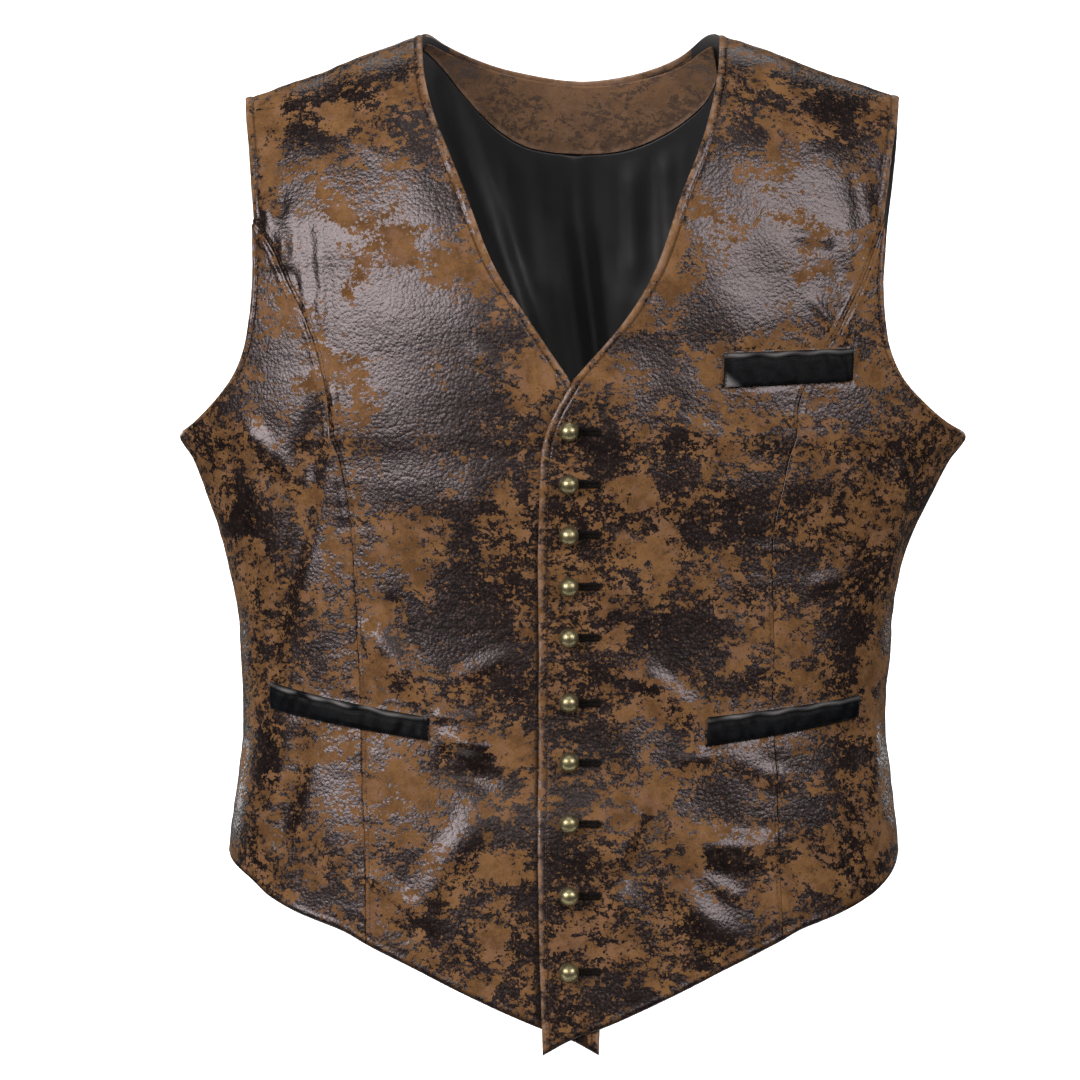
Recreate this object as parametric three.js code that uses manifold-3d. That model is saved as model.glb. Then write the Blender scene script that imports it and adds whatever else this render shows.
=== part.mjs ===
// A waistcoat of distressed leather with a black satin back lining, filled out as on a general figure.
// Millimetres, +Z up, the front faces -Y and the wearer's left is +X.
// The origin lies between the two shoulders, level with their high points at the neck.
import * as THREE from "three";
import { mergeVertices } from "three/addons/utils/BufferGeometryUtils.js";
import Module from "manifold-3d";

const wasm = await Module();
wasm.setup();

// Driving sizes
const clothWall = 1.8; // shell and its fusible interlining
const liningWall = 1.0;
const facingWall = 1.2;
const weltWall = 1.7;
const seamGap = 0.3; // clear space between two pieces where they are sewn
const halfGap = seamGap / 2;
const liningClear = 1.4; // the lining and the facing hang this far inside the back
const liningLoose = 3; // and the lining this much further below the armholes
const weltClear = 0.9; // between a welt and the panel that it is sewn on
const lapLift = 2.8; // the left front lies this far out, over the right front
const lapFlat = 24; // the lift is whole to here from the middle, across
const lapFade = 62; // and it is gone here
const armpit = -256; // height of the underarm points
const seamFootOut = 130; // about where the shaped seams meet the hem, from the middle
const cornerClear = 8; // rows of a table closer to a corner of a piece than this are left out
const sideDepth = 100; // about the form's depth at its sides, which turns a gap there into an angle
const closeFrom = -150; // above this height front and back lean together to the shoulder seam

// The body of the garment. Above closeFrom the level is measured along the slope of the shoulder.
// half: half width; front, back: depth each way; point: how far the sides are drawn to a point;
// shift: the middle of the section, across.
const form = [
  { level: -660, half: 214, front: 98, back: 96, point: 0, shift: -4 },
  { level: -560, half: 214, front: 96, back: 94, point: 0, shift: -4 },
  { level: -522, half: 213.5, front: 94, back: 92, point: -0.05, shift: -4 },
  { level: -496, half: 211.5, front: 92, back: 89, point: -0.1, shift: -4 },
  { level: -470, half: 208.5, front: 89, back: 84, point: -0.15, shift: -3.5 },
  { level: -445, half: 205.5, front: 87, back: 78, point: -0.18, shift: -3.5 },
  { level: -420, half: 205.5, front: 86, back: 74, point: -0.18, shift: -3.5 },
  { level: -394, half: 207.5, front: 86, back: 72, point: -0.15, shift: -3 },
  { level: -370, half: 209.5, front: 87, back: 73, point: -0.1, shift: -3 },
  { level: -342, half: 214.5, front: 88, back: 76, point: 0, shift: -3 },
  { level: -317, half: 222, front: 90, back: 80, point: 0.12, shift: -2 },
  { level: -291, half: 233, front: 92, back: 85, point: 0.28, shift: 0 },
  { level: -272, half: 242, front: 93, back: 88, point: 0.4, shift: 1 },
  { level: armpit, half: 251.5, front: 94, back: 90, point: 0.48, shift: 1.5 },
  { level: -232, half: 250, front: 94, back: 92, point: 0.48, shift: 1.5 },
  { level: -200, half: 246, front: 93, back: 94, point: 0.42, shift: 1 },
  { level: closeFrom, half: 240, front: 91, back: 95, point: 0.34, shift: 1 },
  { level: -100, half: 234, front: 88, back: 94, point: 0.28, shift: 1.5 },
  { level: 0, half: 229, front: 84, back: 90, point: 0.2, shift: 2 },
  { level: 90, half: 227, front: 82, back: 86, point: 0.15, shift: 2 },
];

// The line of the shoulder seams: height over the distance from the middle.
const shoulder = [
  { out: 0, height: 18 },
  { out: 50, height: 13 },
  { out: 93, height: 1 },
  { out: 120, height: -8.5 },
  { out: 150, height: -20 },
  { out: 180, height: -31 },
  { out: 200, height: -38 },
  { out: 212, height: -40.5 },
  { out: 240, height: -44 },
];

// Each armhole from the shoulder down to the underarm, on the front and on the back: distance from the
// middle. The left one is seen a little from inside, so its back edge stands out past the front's.
const armhole = [
  { height: -41, right: 208, left: 211, backRight: 208, backLeft: 211 },
  { height: -54, right: 207, left: 209, backRight: 207, backLeft: 211 },
  { height: -72, right: 205, left: 205.5, backRight: 205, backLeft: 210.5 },
  { height: -98, right: 203, left: 202, backRight: 203, backLeft: 208.5 },
  { height: -128, right: 201.5, left: 199, backRight: 201.5, backLeft: 205.5 },
  { height: -160, right: 202, left: 198, backRight: 202, backLeft: 203.5 },
  { height: -184, right: 204, left: 199.5, backRight: 203.5, backLeft: 203 },
  { height: -204, right: 208, left: 203.5, backRight: 208, backLeft: 205.5 },
  { height: -220, right: 215, left: 211, backRight: 215, backLeft: 212.5 },
  { height: -235, right: 226.5, left: 224, backRight: 226.5, backLeft: 225 },
  { height: -248, right: 240.5, left: 240, backRight: 240, backLeft: 240.5 },
];

// The shaped seam of each front, from the armhole down to the hem: distance from the middle.
const frontSeam = [
  { height: -120, right: 201, left: 198.8 },
  { height: -136, right: 190, left: 193 },
  { height: -160, right: 179, left: 184 },
  { height: -192, right: 164, left: 168 },
  { height: -236, right: 153, left: 144 },
  { height: -298, right: 140.5, left: 131.5 },
  { height: -373, right: 134.5, left: 127.5 },
  { height: -450, right: 131, left: 128 },
  { height: -516, right: 129, left: 131 },
  { height: -600, right: 127.5, left: 134 },
];

// The neck edge of each front, from the shoulder down to where the fronts cross.
const neckEdge = [
  { height: -0.5, right: 95, left: 96 },
  { height: -30, right: 92.5, left: 93.5 },
  { height: -56, right: 86, left: 88 },
  { height: -80, right: 76.5, left: 80.5 },
  { height: -106, right: 66, left: 70 },
  { height: -153, right: 47.5, left: 53.5 },
  { height: -186, right: 26, left: 34 },
  { height: -223, right: 1, left: 2 },
];
// Below the crossing each front runs on past the middle: across is towards the other side.
const frontEdge = [
  { height: -250, across: 13 },
  { height: -272, across: 18.5 },
  { height: -312, across: 20 },
  { height: -440, across: 20 },
  { height: -560, across: 20 },
];
const tip = { height: -644, across: 17.5 };

// The hem of each front: height over the distance from the middle.
const hem = [
  { out: -18, height: -644 },
  { out: 0, height: -634.5 },
  { out: 20, height: -627 },
  { out: 46, height: -616 },
  { out: 73, height: -603.5 },
  { out: 98, height: -591 },
  { out: 121, height: -580 },
  { out: 145, height: -568.5 },
  { out: 172, height: -558.5 },
  { out: 191, height: -549 },
  { out: 205, height: -537.5 },
];
const sideHem = -521.6; // where the hem meets the side seams
const sideSeamHeights = [sideHem, -470, -420, -370, -320, -290];
const backHem = -531; // in the middle of the back

// The neck edge of the back, and below it the lower edge of the facing.
const backNeck = [
  { across: -93, height: 0 },
  { across: -80, height: -5 },
  { across: -58, height: -13 },
  { across: -28, height: -20.5 },
  { across: 12, height: -25 },
  { across: 44, height: -21.5 },
  { across: 72, height: -13.5 },
  { across: 93, height: -1 },
];
const facingEdge = [
  { across: -95, height: -5 },
  { across: -83, height: -16 },
  { across: -68, height: -34 },
  { across: -48, height: -53.5 },
  { across: -28, height: -65 },
  { across: 4, height: -69.5 },
  { across: 36, height: -67.3 },
  { across: 60, height: -58.5 },
  { across: 77, height: -48 },
  { across: 90, height: -36 },
  { across: 97, height: -22 },
];

// The largest folds of the fronts and of the back, each from one point to another as seen from its own
// side: across and height of both ends, how far it stands out, and half its width. Minus is a trough.
const frontFolds = [
  { x0: -127, z0: -380, x1: -96, z1: -416, rise: 3, half: 15 },
  { x0: -74, z0: -447, x1: -50, z1: -455, rise: 4.5, half: 13 },
  { x0: -76, z0: -464, x1: -50, z1: -476, rise: -2.5, half: 14 },
  { x0: 53, z0: -488, x1: 34, z1: -540, rise: -2.6, half: 13 },
  { x0: 80, z0: -514, x1: 126, z1: -518, rise: 3.2, half: 15 },
  { x0: 48, z0: -409, x1: 75, z1: -432, rise: 3, half: 14 },
  { x0: -158, z0: -240, x1: -171, z1: -322, rise: -2.6, half: 13 },
  { x0: -171, z0: -322, x1: -193, z1: -407, rise: -3, half: 12 },
  { x0: -168, z0: -446, x1: -184, z1: -515, rise: -2.6, half: 12 },
  { x0: -205, z0: -252, x1: -186, z1: -276, rise: 2.6, half: 11 },
  { x0: -184, z0: -262, x1: -172, z1: -290, rise: 2.2, half: 11 },
  { x0: 212, z0: -268, x1: 200, z1: -345, rise: 2.8, half: 12 },
  { x0: 190, z0: -440, x1: 192, z1: -500, rise: 2.4, half: 12 },
  { x0: -60, z0: -500, x1: -96, z1: -556, rise: 2.2, half: 17 },
  { x0: 62, z0: -540, x1: 96, z1: -572, rise: 2.2, half: 16 },
  { x0: -196, z0: -100, x1: -178, z1: -150, rise: 2, half: 11 },
];
const backFolds = [
  { x0: -52, z0: -300, x1: -70, z1: -500, rise: 3, half: 22 },
  { x0: 46, z0: -290, x1: 62, z1: -480, rise: 2.6, half: 20 },
  { x0: 8, z0: -380, x1: 0, z1: -520, rise: -2.4, half: 20 },
  { x0: -150, z0: -330, x1: -90, z1: -392, rise: 2.6, half: 15 },
  { x0: 156, z0: -345, x1: 92, z1: -402, rise: 2.8, half: 15 },
  { x0: -130, z0: -410, x1: -62, z1: -424, rise: -2.4, half: 14 },
  { x0: 128, z0: -414, x1: 70, z1: -430, rise: 2.2, half: 14 },
  { x0: -212, z0: -266, x1: -186, z1: -330, rise: 2.6, half: 14 },
  { x0: 212, z0: -266, x1: 190, z1: -330, rise: 2.6, half: 14 },
  { x0: -124, z0: -80, x1: -100, z1: -190, rise: 2, half: 26 },
  { x0: 124, z0: -86, x1: 102, z1: -200, rise: 2, half: 26 },
];
// Folds of the lining, measured inwards. The first is its pleat in the middle of the back.
const liningFolds = [
  { x0: 5, z0: -66, x1: 6, z1: -110, rise: 4, half: 9 },
  { x0: 6, z0: -110, x1: 20, z1: -215, rise: 5, half: 11 },
  { x0: 41, z0: -80, x1: 43, z1: -150, rise: 2.4, half: 11 },
  { x0: 64, z0: -72, x1: 66, z1: -140, rise: 2.2, half: 10 },
  { x0: -84, z0: -20, x1: -58, z1: -95, rise: 4, half: 11 },
  { x0: -58, z0: -95, x1: -26, z1: -190, rise: 4.5, half: 12 },
];

// The pocket welts, each from its inner end to its outer one: distance from the middle, height of the
// top edge, and how deep the welt is there.
const welts = [
  { place: "chest_left", x0: 95.5, z0: -206.5, deep0: 21.5, x1: 177.5, z1: -202.5, deep1: 20.5 },
  { place: "lower_left", x0: 85.5, z0: -434, deep0: 18, x1: 181.5, z1: -421, deep1: 14 },
  { place: "lower_right", x0: 89.5, z0: -434, deep0: 14.5, x1: 189, z1: -412.5, deep1: 17 },
];

// Buttons and their holes
const buttonHeights = [-256, -288.4, -320, -352.4, -384, -425, -462.5, -500.5, -545, -592];
const buttonAcross = -1.2;
const ballRadius = 6.2;
const ballSeat = 0.4; // clear of the cloth under the ball
const shankRadius = 1.4;
const ballSunk = 0.92; // the ball's centre is this share of its radius above its seat
const shankInBall = 0.6;
const ballMouth = 0.12; // radians from the shank's end to the first ring of the ball
const slot = { height: 3.6, before: 2.6, after: 20, deep: 9 }; // before and after its button

// The lining, inside the back
const lining = {
  side: 79, // degrees round from the middle of the back to its edges, just short of the side seams
  armIn: 6, // in from the armholes
  seamIn: 3, // below the shoulder seams
  hemUp: 14,
  clear: 0.8, // below the facing's edge
  looseFrom: 225, // it starts to hang further in at this depth
  looseWhole: 300,
};
const facingInset = 1.2; // the facing stops short of the neck edge, under its turned rim
const weltTaper = { inner: 0.5, outer: 1 }; // a welt's lower corners lie this much nearer the middle

const rad = THREE.MathUtils.degToRad;
const quarter = Math.PI / 2;
const sideTurn = quarter - halfGap / sideDepth; // the side seams, as an angle round from the middle
const drawn = 1.5; // how much closer grid steps lie towards an armhole
const drawnShare = 0.7; // and towards both side seams
const joinPower = { front: 4, back: 6 }; // how late a neck edge turns to meet its shoulder seam

// One column of a table as a smooth function of another, kept flat at the table's ends.
function smooth(table, along, column) {
  const rows = [...table].sort((p, q) => p[along] - q[along]);
  const t = rows.map((r) => r[along]);
  const v = rows.map((r) => r[column]);
  const last = rows.length - 1;
  const rate = (i) => (v[i + 1] - v[i]) / (t[i + 1] - t[i]);
  const slope = v.map((_, i) => {
    if (i === 0) return rate(0);
    if (i === last) return rate(last - 1);
    const before = rate(i - 1);
    const after = rate(i);
    return before * after <= 0 ? 0 : (2 * before * after) / (before + after);
  });
  return (at) => {
    const x = THREE.MathUtils.clamp(at, t[0], t[last]);
    let i = 0;
    while (i < last - 1 && x > t[i + 1]) i++;
    const span = t[i + 1] - t[i];
    const s = (x - t[i]) / span;
    const s2 = s * s;
    const s3 = s2 * s;
    return (
      (2 * s3 - 3 * s2 + 1) * v[i] +
      (s3 - 2 * s2 + s) * span * slope[i] +
      (3 * s2 - 2 * s3) * v[i + 1] +
      (s3 - s2) * span * slope[i + 1]
    );
  };
}

const section = Object.fromEntries(
  ["half", "front", "back", "point", "shift"].map((column) => [
    column,
    smooth(form, "level", column),
  ]),
);
const shoulderHeight = smooth(shoulder, "out", "height");

// The bare form at an angle round the body, 0 in front and growing to the wearer's left, and at a rise:
// the length up the cloth from closeFrom.
function bareForm(angle, rise) {
  const level = closeFrom + rise;
  const out = section.half(level) * Math.sin(angle);
  const facing = Math.cos(angle);
  const depth = facing > 0 ? section.front(level) : section.back(level);
  let reach = depth * facing * (1 - section.point(level) * (1 - Math.abs(facing)));
  let height = level;
  if (rise > 0) {
    const slant = shoulderHeight(Math.abs(out)) - closeFrom;
    const lean = Math.min(rise / slant, quarter);
    height = closeFrom + slant * Math.sin(lean);
    reach *= Math.cos(lean);
  }
  return new THREE.Vector3(out + section.shift(level), -reach, height);
}

function outward(angle, rise) {
  const step = { angle: 0.004, rise: 0.8 };
  const top = riseOfSeam(section.half(closeFrom + rise) * Math.sin(angle));
  const r = Math.min(rise, top - 2 * step.rise);
  const round = bareForm(angle + step.angle, r).sub(bareForm(angle - step.angle, r));
  const up = bareForm(angle, r + step.rise).sub(bareForm(angle, r - step.rise));
  return round.cross(up).normalize();
}

// Angle and rise of the point of the form at a place across and a height, on the front.
function locate(across, height) {
  let rise = height - closeFrom;
  let out = across;
  for (let pass = 0; pass < 4; pass++) {
    const level = closeFrom + rise;
    out = across - section.shift(level);
    if (height > closeFrom) {
      const slant = shoulderHeight(Math.abs(out)) - closeFrom;
      rise = slant * Math.asin(Math.min((height - closeFrom) / slant, 1));
    }
  }
  const sine = THREE.MathUtils.clamp(out / section.half(closeFrom + rise), -1, 1);
  return { angle: Math.asin(sine), rise };
}

// The rise of the shoulder seam at a distance from the middle of the section.
const riseOfSeam = (out) => quarter * (shoulderHeight(Math.abs(out)) - closeFrom);

function foldSum(folds, x, z) {
  let sum = 0;
  for (const f of folds) {
    const dx = f.x1 - f.x0;
    const dz = f.z1 - f.z0;
    const length = Math.hypot(dx, dz);
    const along = ((x - f.x0) * dx + (z - f.z0) * dz) / length;
    const aside = Math.abs((x - f.x0) * dz - (z - f.z0) * dx) / length;
    if (aside >= f.half || along <= -f.half || along >= length + f.half) continue;
    const across = Math.cos((quarter * aside) / f.half) ** 2;
    const fromEnd = Math.min(along, length - along) + f.half;
    const ends = Math.min(1, fromEnd / (2 * f.half));
    sum += f.rise * across * Math.sin(quarter * ends) ** 2;
  }
  return sum;
}

// A point of the worn cloth, moved out from the form by its folds and by a given amount.
function clothPoint(angle, rise, out = 0) {
  const p = bareForm(angle, rise);
  const folds = Math.cos(angle) >= 0 ? frontFolds : backFolds;
  const fadeFrom = 0.2; // folds of the front and of the back meet at nothing
  const fade = Math.min(1, Math.abs(Math.cos(angle)) / fadeFrom);
  const move = foldSum(folds, p.x, p.z) * fade + out;
  return p.addScaledVector(outward(angle, rise), move);
}

const lapShare = (across) => 1 - THREE.MathUtils.smoothstep(across, lapFlat, lapFade);

// The boundary of a piece: a smooth line through places on the form, divided evenly along its length.
function line(places) {
  const girth = 220; // turns an angle into a length along the cloth
  const points = places.map((p) => new THREE.Vector3(p.angle * girth, p.rise, 0));
  const curve = new THREE.CatmullRomCurve3(points, false, "centripetal");
  curve.arcLengthDivisions = 400;
  return (t) => {
    const p = curve.getPointAt(t);
    return { angle: p.x / girth, rise: p.y };
  };
}

// Several lines, one after another, as one boundary with corners where they meet, and the number of
// grid steps that each takes.
function chain(lines, steps) {
  const total = steps.reduce((sum, s) => sum + s, 0);
  return (t) => {
    let left = t * total;
    for (let i = 0; i < lines.length; i++) {
      const isLast = i === lines.length - 1;
      if (isLast || left <= steps[i] + 1e-9) return lines[i](Math.min(left / steps[i], 1));
      left -= steps[i];
    }
  };
}

// Shorter steps towards the end of a line, or towards both ends, where the form bends most.
const closer = (of, power) => (t) => of(1 - (1 - t) ** power);
const closerBoth = (of, share) => (t) =>
  of(THREE.MathUtils.lerp(t, (1 - Math.cos(Math.PI * t)) / 2, share));

// A grid of places between four boundaries, all running left to right or bottom to top.
function patch({ bottom, top, start, end, wide, tall }) {
  const rows = [];
  for (let j = 0; j <= tall; j++) {
    const t = j / tall;
    const row = [];
    for (let i = 0; i <= wide; i++) {
      const u = i / wide;
      const mix = (key) =>
        (1 - t) * bottom(u)[key] +
        t * top(u)[key] +
        (1 - u) * start(t)[key] +
        u * end(t)[key] -
        (1 - u) * (1 - t) * start(0)[key] -
        u * (1 - t) * end(0)[key] -
        (1 - u) * t * start(1)[key] -
        u * t * end(1)[key];
      row.push({ angle: mix("angle"), rise: mix("rise") });
    }
    rows.push(row);
  }
  return rows;
}

// A wall from a grid of places: outer and inner are the points of its two faces.
function wall(rows, outer, inner) {
  const tall = rows.length;
  const wide = rows[0].length;
  const points = [...rows.flat().map(outer), ...rows.flat().map(inner)];
  const index = [];
  const at = (i, j, face) => face * tall * wide + j * wide + i;
  const quad = (a, b, c, d) => index.push(a, b, c, a, c, d);
  for (let j = 0; j < tall - 1; j++) {
    for (let i = 0; i < wide - 1; i++) {
      quad(at(i, j, 0), at(i + 1, j, 0), at(i + 1, j + 1, 0), at(i, j + 1, 0));
      quad(at(i, j, 1), at(i, j + 1, 1), at(i + 1, j + 1, 1), at(i + 1, j, 1));
    }
  }
  for (let i = 0; i < wide - 1; i++) {
    quad(at(i, 0, 0), at(i, 0, 1), at(i + 1, 0, 1), at(i + 1, 0, 0));
    quad(at(i, tall - 1, 0), at(i + 1, tall - 1, 0), at(i + 1, tall - 1, 1), at(i, tall - 1, 1));
  }
  for (let j = 0; j < tall - 1; j++) {
    quad(at(0, j, 0), at(0, j + 1, 0), at(0, j + 1, 1), at(0, j, 1));
    quad(at(wide - 1, j, 0), at(wide - 1, j, 1), at(wide - 1, j + 1, 1), at(wide - 1, j + 1, 0));
  }
  const geometry = new THREE.BufferGeometry().setFromPoints(points);
  geometry.setIndex(signedVolume(points, index) < 0 ? index.reverse() : index);
  return geometry;
}

function signedVolume(points, index) {
  let sum = 0;
  for (let i = 0; i < index.length; i += 3) {
    const [a, b, c] = [points[index[i]], points[index[i + 1]], points[index[i + 2]]];
    sum += a.dot(new THREE.Vector3().crossVectors(b, c));
  }
  return sum;
}

function solidOf(geometry) {
  const bare = geometry.clone().deleteAttribute("normal").deleteAttribute("uv");
  const merged = mergeVertices(bare, 1e-4);
  return new wasm.Manifold(
    new wasm.Mesh({
      numProp: 3,
      vertProperties: new Float32Array(merged.attributes.position.array),
      triVerts: new Uint32Array(merged.index.array),
    }),
  );
}

function geometryOf(solid) {
  const mesh = solid.getMesh();
  const geometry = new THREE.BufferGeometry();
  geometry.setAttribute("position", new THREE.BufferAttribute(mesh.vertProperties.slice(), 3));
  geometry.setIndex(new THREE.BufferAttribute(mesh.triVerts.slice(), 1));
  return geometry;
}

const finish = {
  leather: new THREE.MeshStandardMaterial({ color: 0x6b4624, roughness: 0.7, metalness: 0 }),
  satin: new THREE.MeshStandardMaterial({ color: 0x1b1b1c, roughness: 0.45, metalness: 0 }),
  smoothLeather: new THREE.MeshStandardMaterial({ color: 0x111214, roughness: 0.4, metalness: 0 }),
  brass: new THREE.MeshStandardMaterial({ color: 0x8a6a38, roughness: 0.35, metalness: 1 }),
};

const waistcoat = new THREE.Group();
waistcoat.name = "waistcoat";

function add(name, geometry, material) {
  geometry.computeVertexNormals();
  const mesh = new THREE.Mesh(geometry, material);
  mesh.name = name;
  waistcoat.add(mesh);
  return mesh;
}

// Sides: 1 is the wearer's left and -1 the right.
const columnOf = (side) => (side > 0 ? "left" : "right");
const backColumnOf = (side) => (side > 0 ? "backLeft" : "backRight");

// A place on the shoulder seam, kept back from it by a gap that the slope there needs.
function seamPlace(across) {
  const top = form.at(-1).level;
  const out = across - section.shift(top);
  const rise = riseOfSeam(out) - 3 * seamGap;
  return { angle: Math.asin(out / section.half(closeFrom + rise)), rise };
}

function seamLine(from, to, side, steps = 8) {
  const places = [];
  for (let i = 0; i <= steps; i++) {
    places.push(seamPlace(side * THREE.MathUtils.lerp(from, to, i / steps)));
  }
  return line(places);
}

const between = (a, b) =>
  line([a, { angle: (a.angle + b.angle) / 2, rise: (a.rise + b.rise) / 2 }, b]);

// A place on a side seam, side from -1 to 1.
const sidePlace = (side) => (height) => ({ angle: side * sideTurn, rise: height - closeFrom });
const upFrom = (table, keep = () => true) => [...table].reverse().filter(keep);

const hemHeight = smooth(hem, "out", "height");
// Grid rows of the fronts along each stretch of their edges; edge + neck = seam + shoulder.
const frontRows = { edge: 22, neck: 14, seam: 29, shoulder: 7 };
const sideRows = { seam: 14, armhole: 15 }; // together the same as frontRows.seam
const backRows = { seam: 12, armhole: 15 };
const seamOut = (side) => smooth(frontSeam, "height", columnOf(side));

function frontCentre(side) {
  const key = columnOf(side);
  const seam = seamOut(side);
  const footHeight = hemHeight(seamFootOut);
  const footOut = seam(footHeight) - halfGap;
  const hemPlaces = hem
    .filter((r) => r.out > -tip.across && r.out < footOut - cornerClear)
    .map((r) => locate(side * r.out, r.height));
  const tipPlace = locate(-side * tip.across, tip.height);
  const footPlace = locate(side * footOut, hemHeight(footOut));
  const bottom = line([tipPlace, ...hemPlaces, footPlace]);
  const edge = line([
    tipPlace,
    ...upFrom(frontEdge).map((r) => locate(-side * r.across, r.height)),
    locate(side * neckEdge.at(-1)[key], neckEdge.at(-1).height),
  ]);
  const neck = line(upFrom(neckEdge).map((r) => locate(side * r[key], r.height)));
  const seamRows = upFrom(frontSeam, (r) => r.height > footHeight + cornerClear);
  const seamPlaces = seamRows.map((r) => locate(side * (r[key] - halfGap), r.height));
  const seamLineUp = line([footPlace, ...seamPlaces]);
  const topRow = frontSeam[0];
  const armRows = upFrom(armhole, (r) => r.height > topRow.height + cornerClear);
  const arm = line([
    locate(side * (topRow[key] - halfGap), topRow.height),
    ...armRows.slice(0, -1).map((r) => locate(side * r[key], r.height)),
    seamPlace(side * armhole[0][key]),
  ]);
  const shoulderLine = seamLine(neckEdge[0][key], armhole[0][key], side);
  const neckTop = shoulderLine(0);
  const neckToSeam = (t) => {
    const p = neck(t);
    const end = neck(1);
    const pull = t ** joinPower.front;
    return {
      angle: p.angle + pull * (neckTop.angle - end.angle),
      rise: p.rise + pull * (neckTop.rise - end.rise),
    };
  };
  return patch({
    bottom,
    top: shoulderLine,
    start: chain([edge, neckToSeam], [frontRows.edge, frontRows.neck]),
    end: chain([seamLineUp, arm], [frontRows.seam, frontRows.shoulder]),
    wide: 11,
    tall: frontRows.seam + frontRows.shoulder,
  });
}

function frontSide(side) {
  const key = columnOf(side);
  const footHeight = hemHeight(seamFootOut);
  const footOut = seamOut(side)(footHeight) + halfGap;
  const foot = locate(side * footOut, hemHeight(footOut));
  const atSide = sidePlace(side);
  const hemIn = 2; // keeps the table's last places off the side seam
  const hemRows = hem.filter((r) => r.out > footOut + cornerClear);
  const hemPlaces = hemRows.map((r) => locate(side * (r.out - hemIn), r.height));
  const bottom = line([foot, ...hemPlaces, atSide(sideHem)]);
  const seamRows = upFrom(frontSeam, (r) => r.height > footHeight + cornerClear);
  const inner = line([foot, ...seamRows.map((r) => locate(side * (r[key] + halfGap), r.height))]);
  const sideSeam = line([...sideSeamHeights, armpit].map(atSide));
  const topRow = armhole.find((r) => r.height < frontSeam[0].height);
  const armTop = locate(side * topRow[key], topRow.height);
  const armRows = upFrom(armhole, (r) => r.height < topRow.height - cornerClear);
  const armPlaces = armRows.map((r) => locate(side * r[key], r.height));
  const arm = line([atSide(armpit), ...armPlaces, armTop]);
  return patch({
    bottom: closer(bottom, drawn),
    top: closer(between(inner(1), armTop), drawn),
    start: inner,
    end: chain([sideSeam, arm], [sideRows.seam, sideRows.armhole]),
    wide: 8,
    tall: frontRows.seam,
  });
}

function lapOut(place, share) {
  return share * lapLift * lapShare(Math.abs(bareForm(place.angle, place.rise).x));
}
const faces = (out, share = 0) => [
  (p) => clothPoint(p.angle, p.rise, out + lapOut(p, share)),
  (p) => clothPoint(p.angle, p.rise, out - clothWall + lapOut(p, share)),
];

add("front_right_centre", wall(frontCentre(-1), ...faces(0)), finish.leather);
add("front_right_side", wall(frontSide(-1), ...faces(0)), finish.leather);
add("front_left_side", wall(frontSide(1), ...faces(0)), finish.leather);

// The left front lies on top and is cut through for its ten buttonholes.
function frameAt(across, height) {
  const place = locate(across, height);
  const normal = outward(place.angle, place.rise);
  const along = new THREE.Vector3(1, 0, 0).addScaledVector(normal, -normal.x).normalize();
  const down = new THREE.Vector3().crossVectors(along, normal);
  const matrix = new THREE.Matrix4().makeBasis(along, normal, down);
  return { place, normal, matrix };
}

function buttonhole(height) {
  const { place, matrix } = frameAt(buttonAcross, height);
  const length = slot.before + slot.after;
  const cutter = new THREE.BoxGeometry(length, slot.deep, slot.height);
  cutter.translate(length / 2 - slot.before, 0, 0);
  cutter.applyMatrix4(matrix);
  const seat = clothPoint(place.angle, place.rise, lapLift - clothWall / 2);
  cutter.translate(seat.x, seat.y, seat.z);
  return solidOf(cutter);
}

let leftCentre = solidOf(wall(frontCentre(1), ...faces(0, 1)));
for (const height of buttonHeights) leftCentre = leftCentre.subtract(buttonhole(height));
add("front_left_centre", geometryOf(leftCentre), finish.leather);

// A ball button on a shank that stands on the right front and passes through the buttonhole.
function button(height) {
  const { place, normal } = frameAt(buttonAcross, height);
  const foot = clothPoint(place.angle, place.rise, seamGap);
  const seat = lapLift - seamGap + ballSeat;
  const neckLength = seat + shankInBall;
  const centre = seat + ballRadius * ballSunk;
  const profile = [
    new THREE.Vector2(0, 0),
    new THREE.Vector2(shankRadius, 0),
    new THREE.Vector2(shankRadius, neckLength),
  ];
  const bands = 7;
  const low = Math.asin((neckLength - centre) / ballRadius);
  for (let i = 0; i <= bands; i++) {
    const lift = THREE.MathUtils.lerp(low + ballMouth, quarter, i / bands);
    const r = i === bands ? 0 : ballRadius * Math.cos(lift);
    profile.push(new THREE.Vector2(r, centre + ballRadius * Math.sin(lift)));
  }
  const geometry = new THREE.LatheGeometry(profile, 10);
  geometry.applyQuaternion(new THREE.Quaternion().setFromUnitVectors(new THREE.Vector3(0, 1, 0), normal));
  geometry.translate(foot.x, foot.y, foot.z);
  return geometry;
}

buttonHeights.forEach((height, i) => {
  add("button_" + String(i + 1).padStart(2, "0"), button(height), finish.brass);
});

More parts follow.
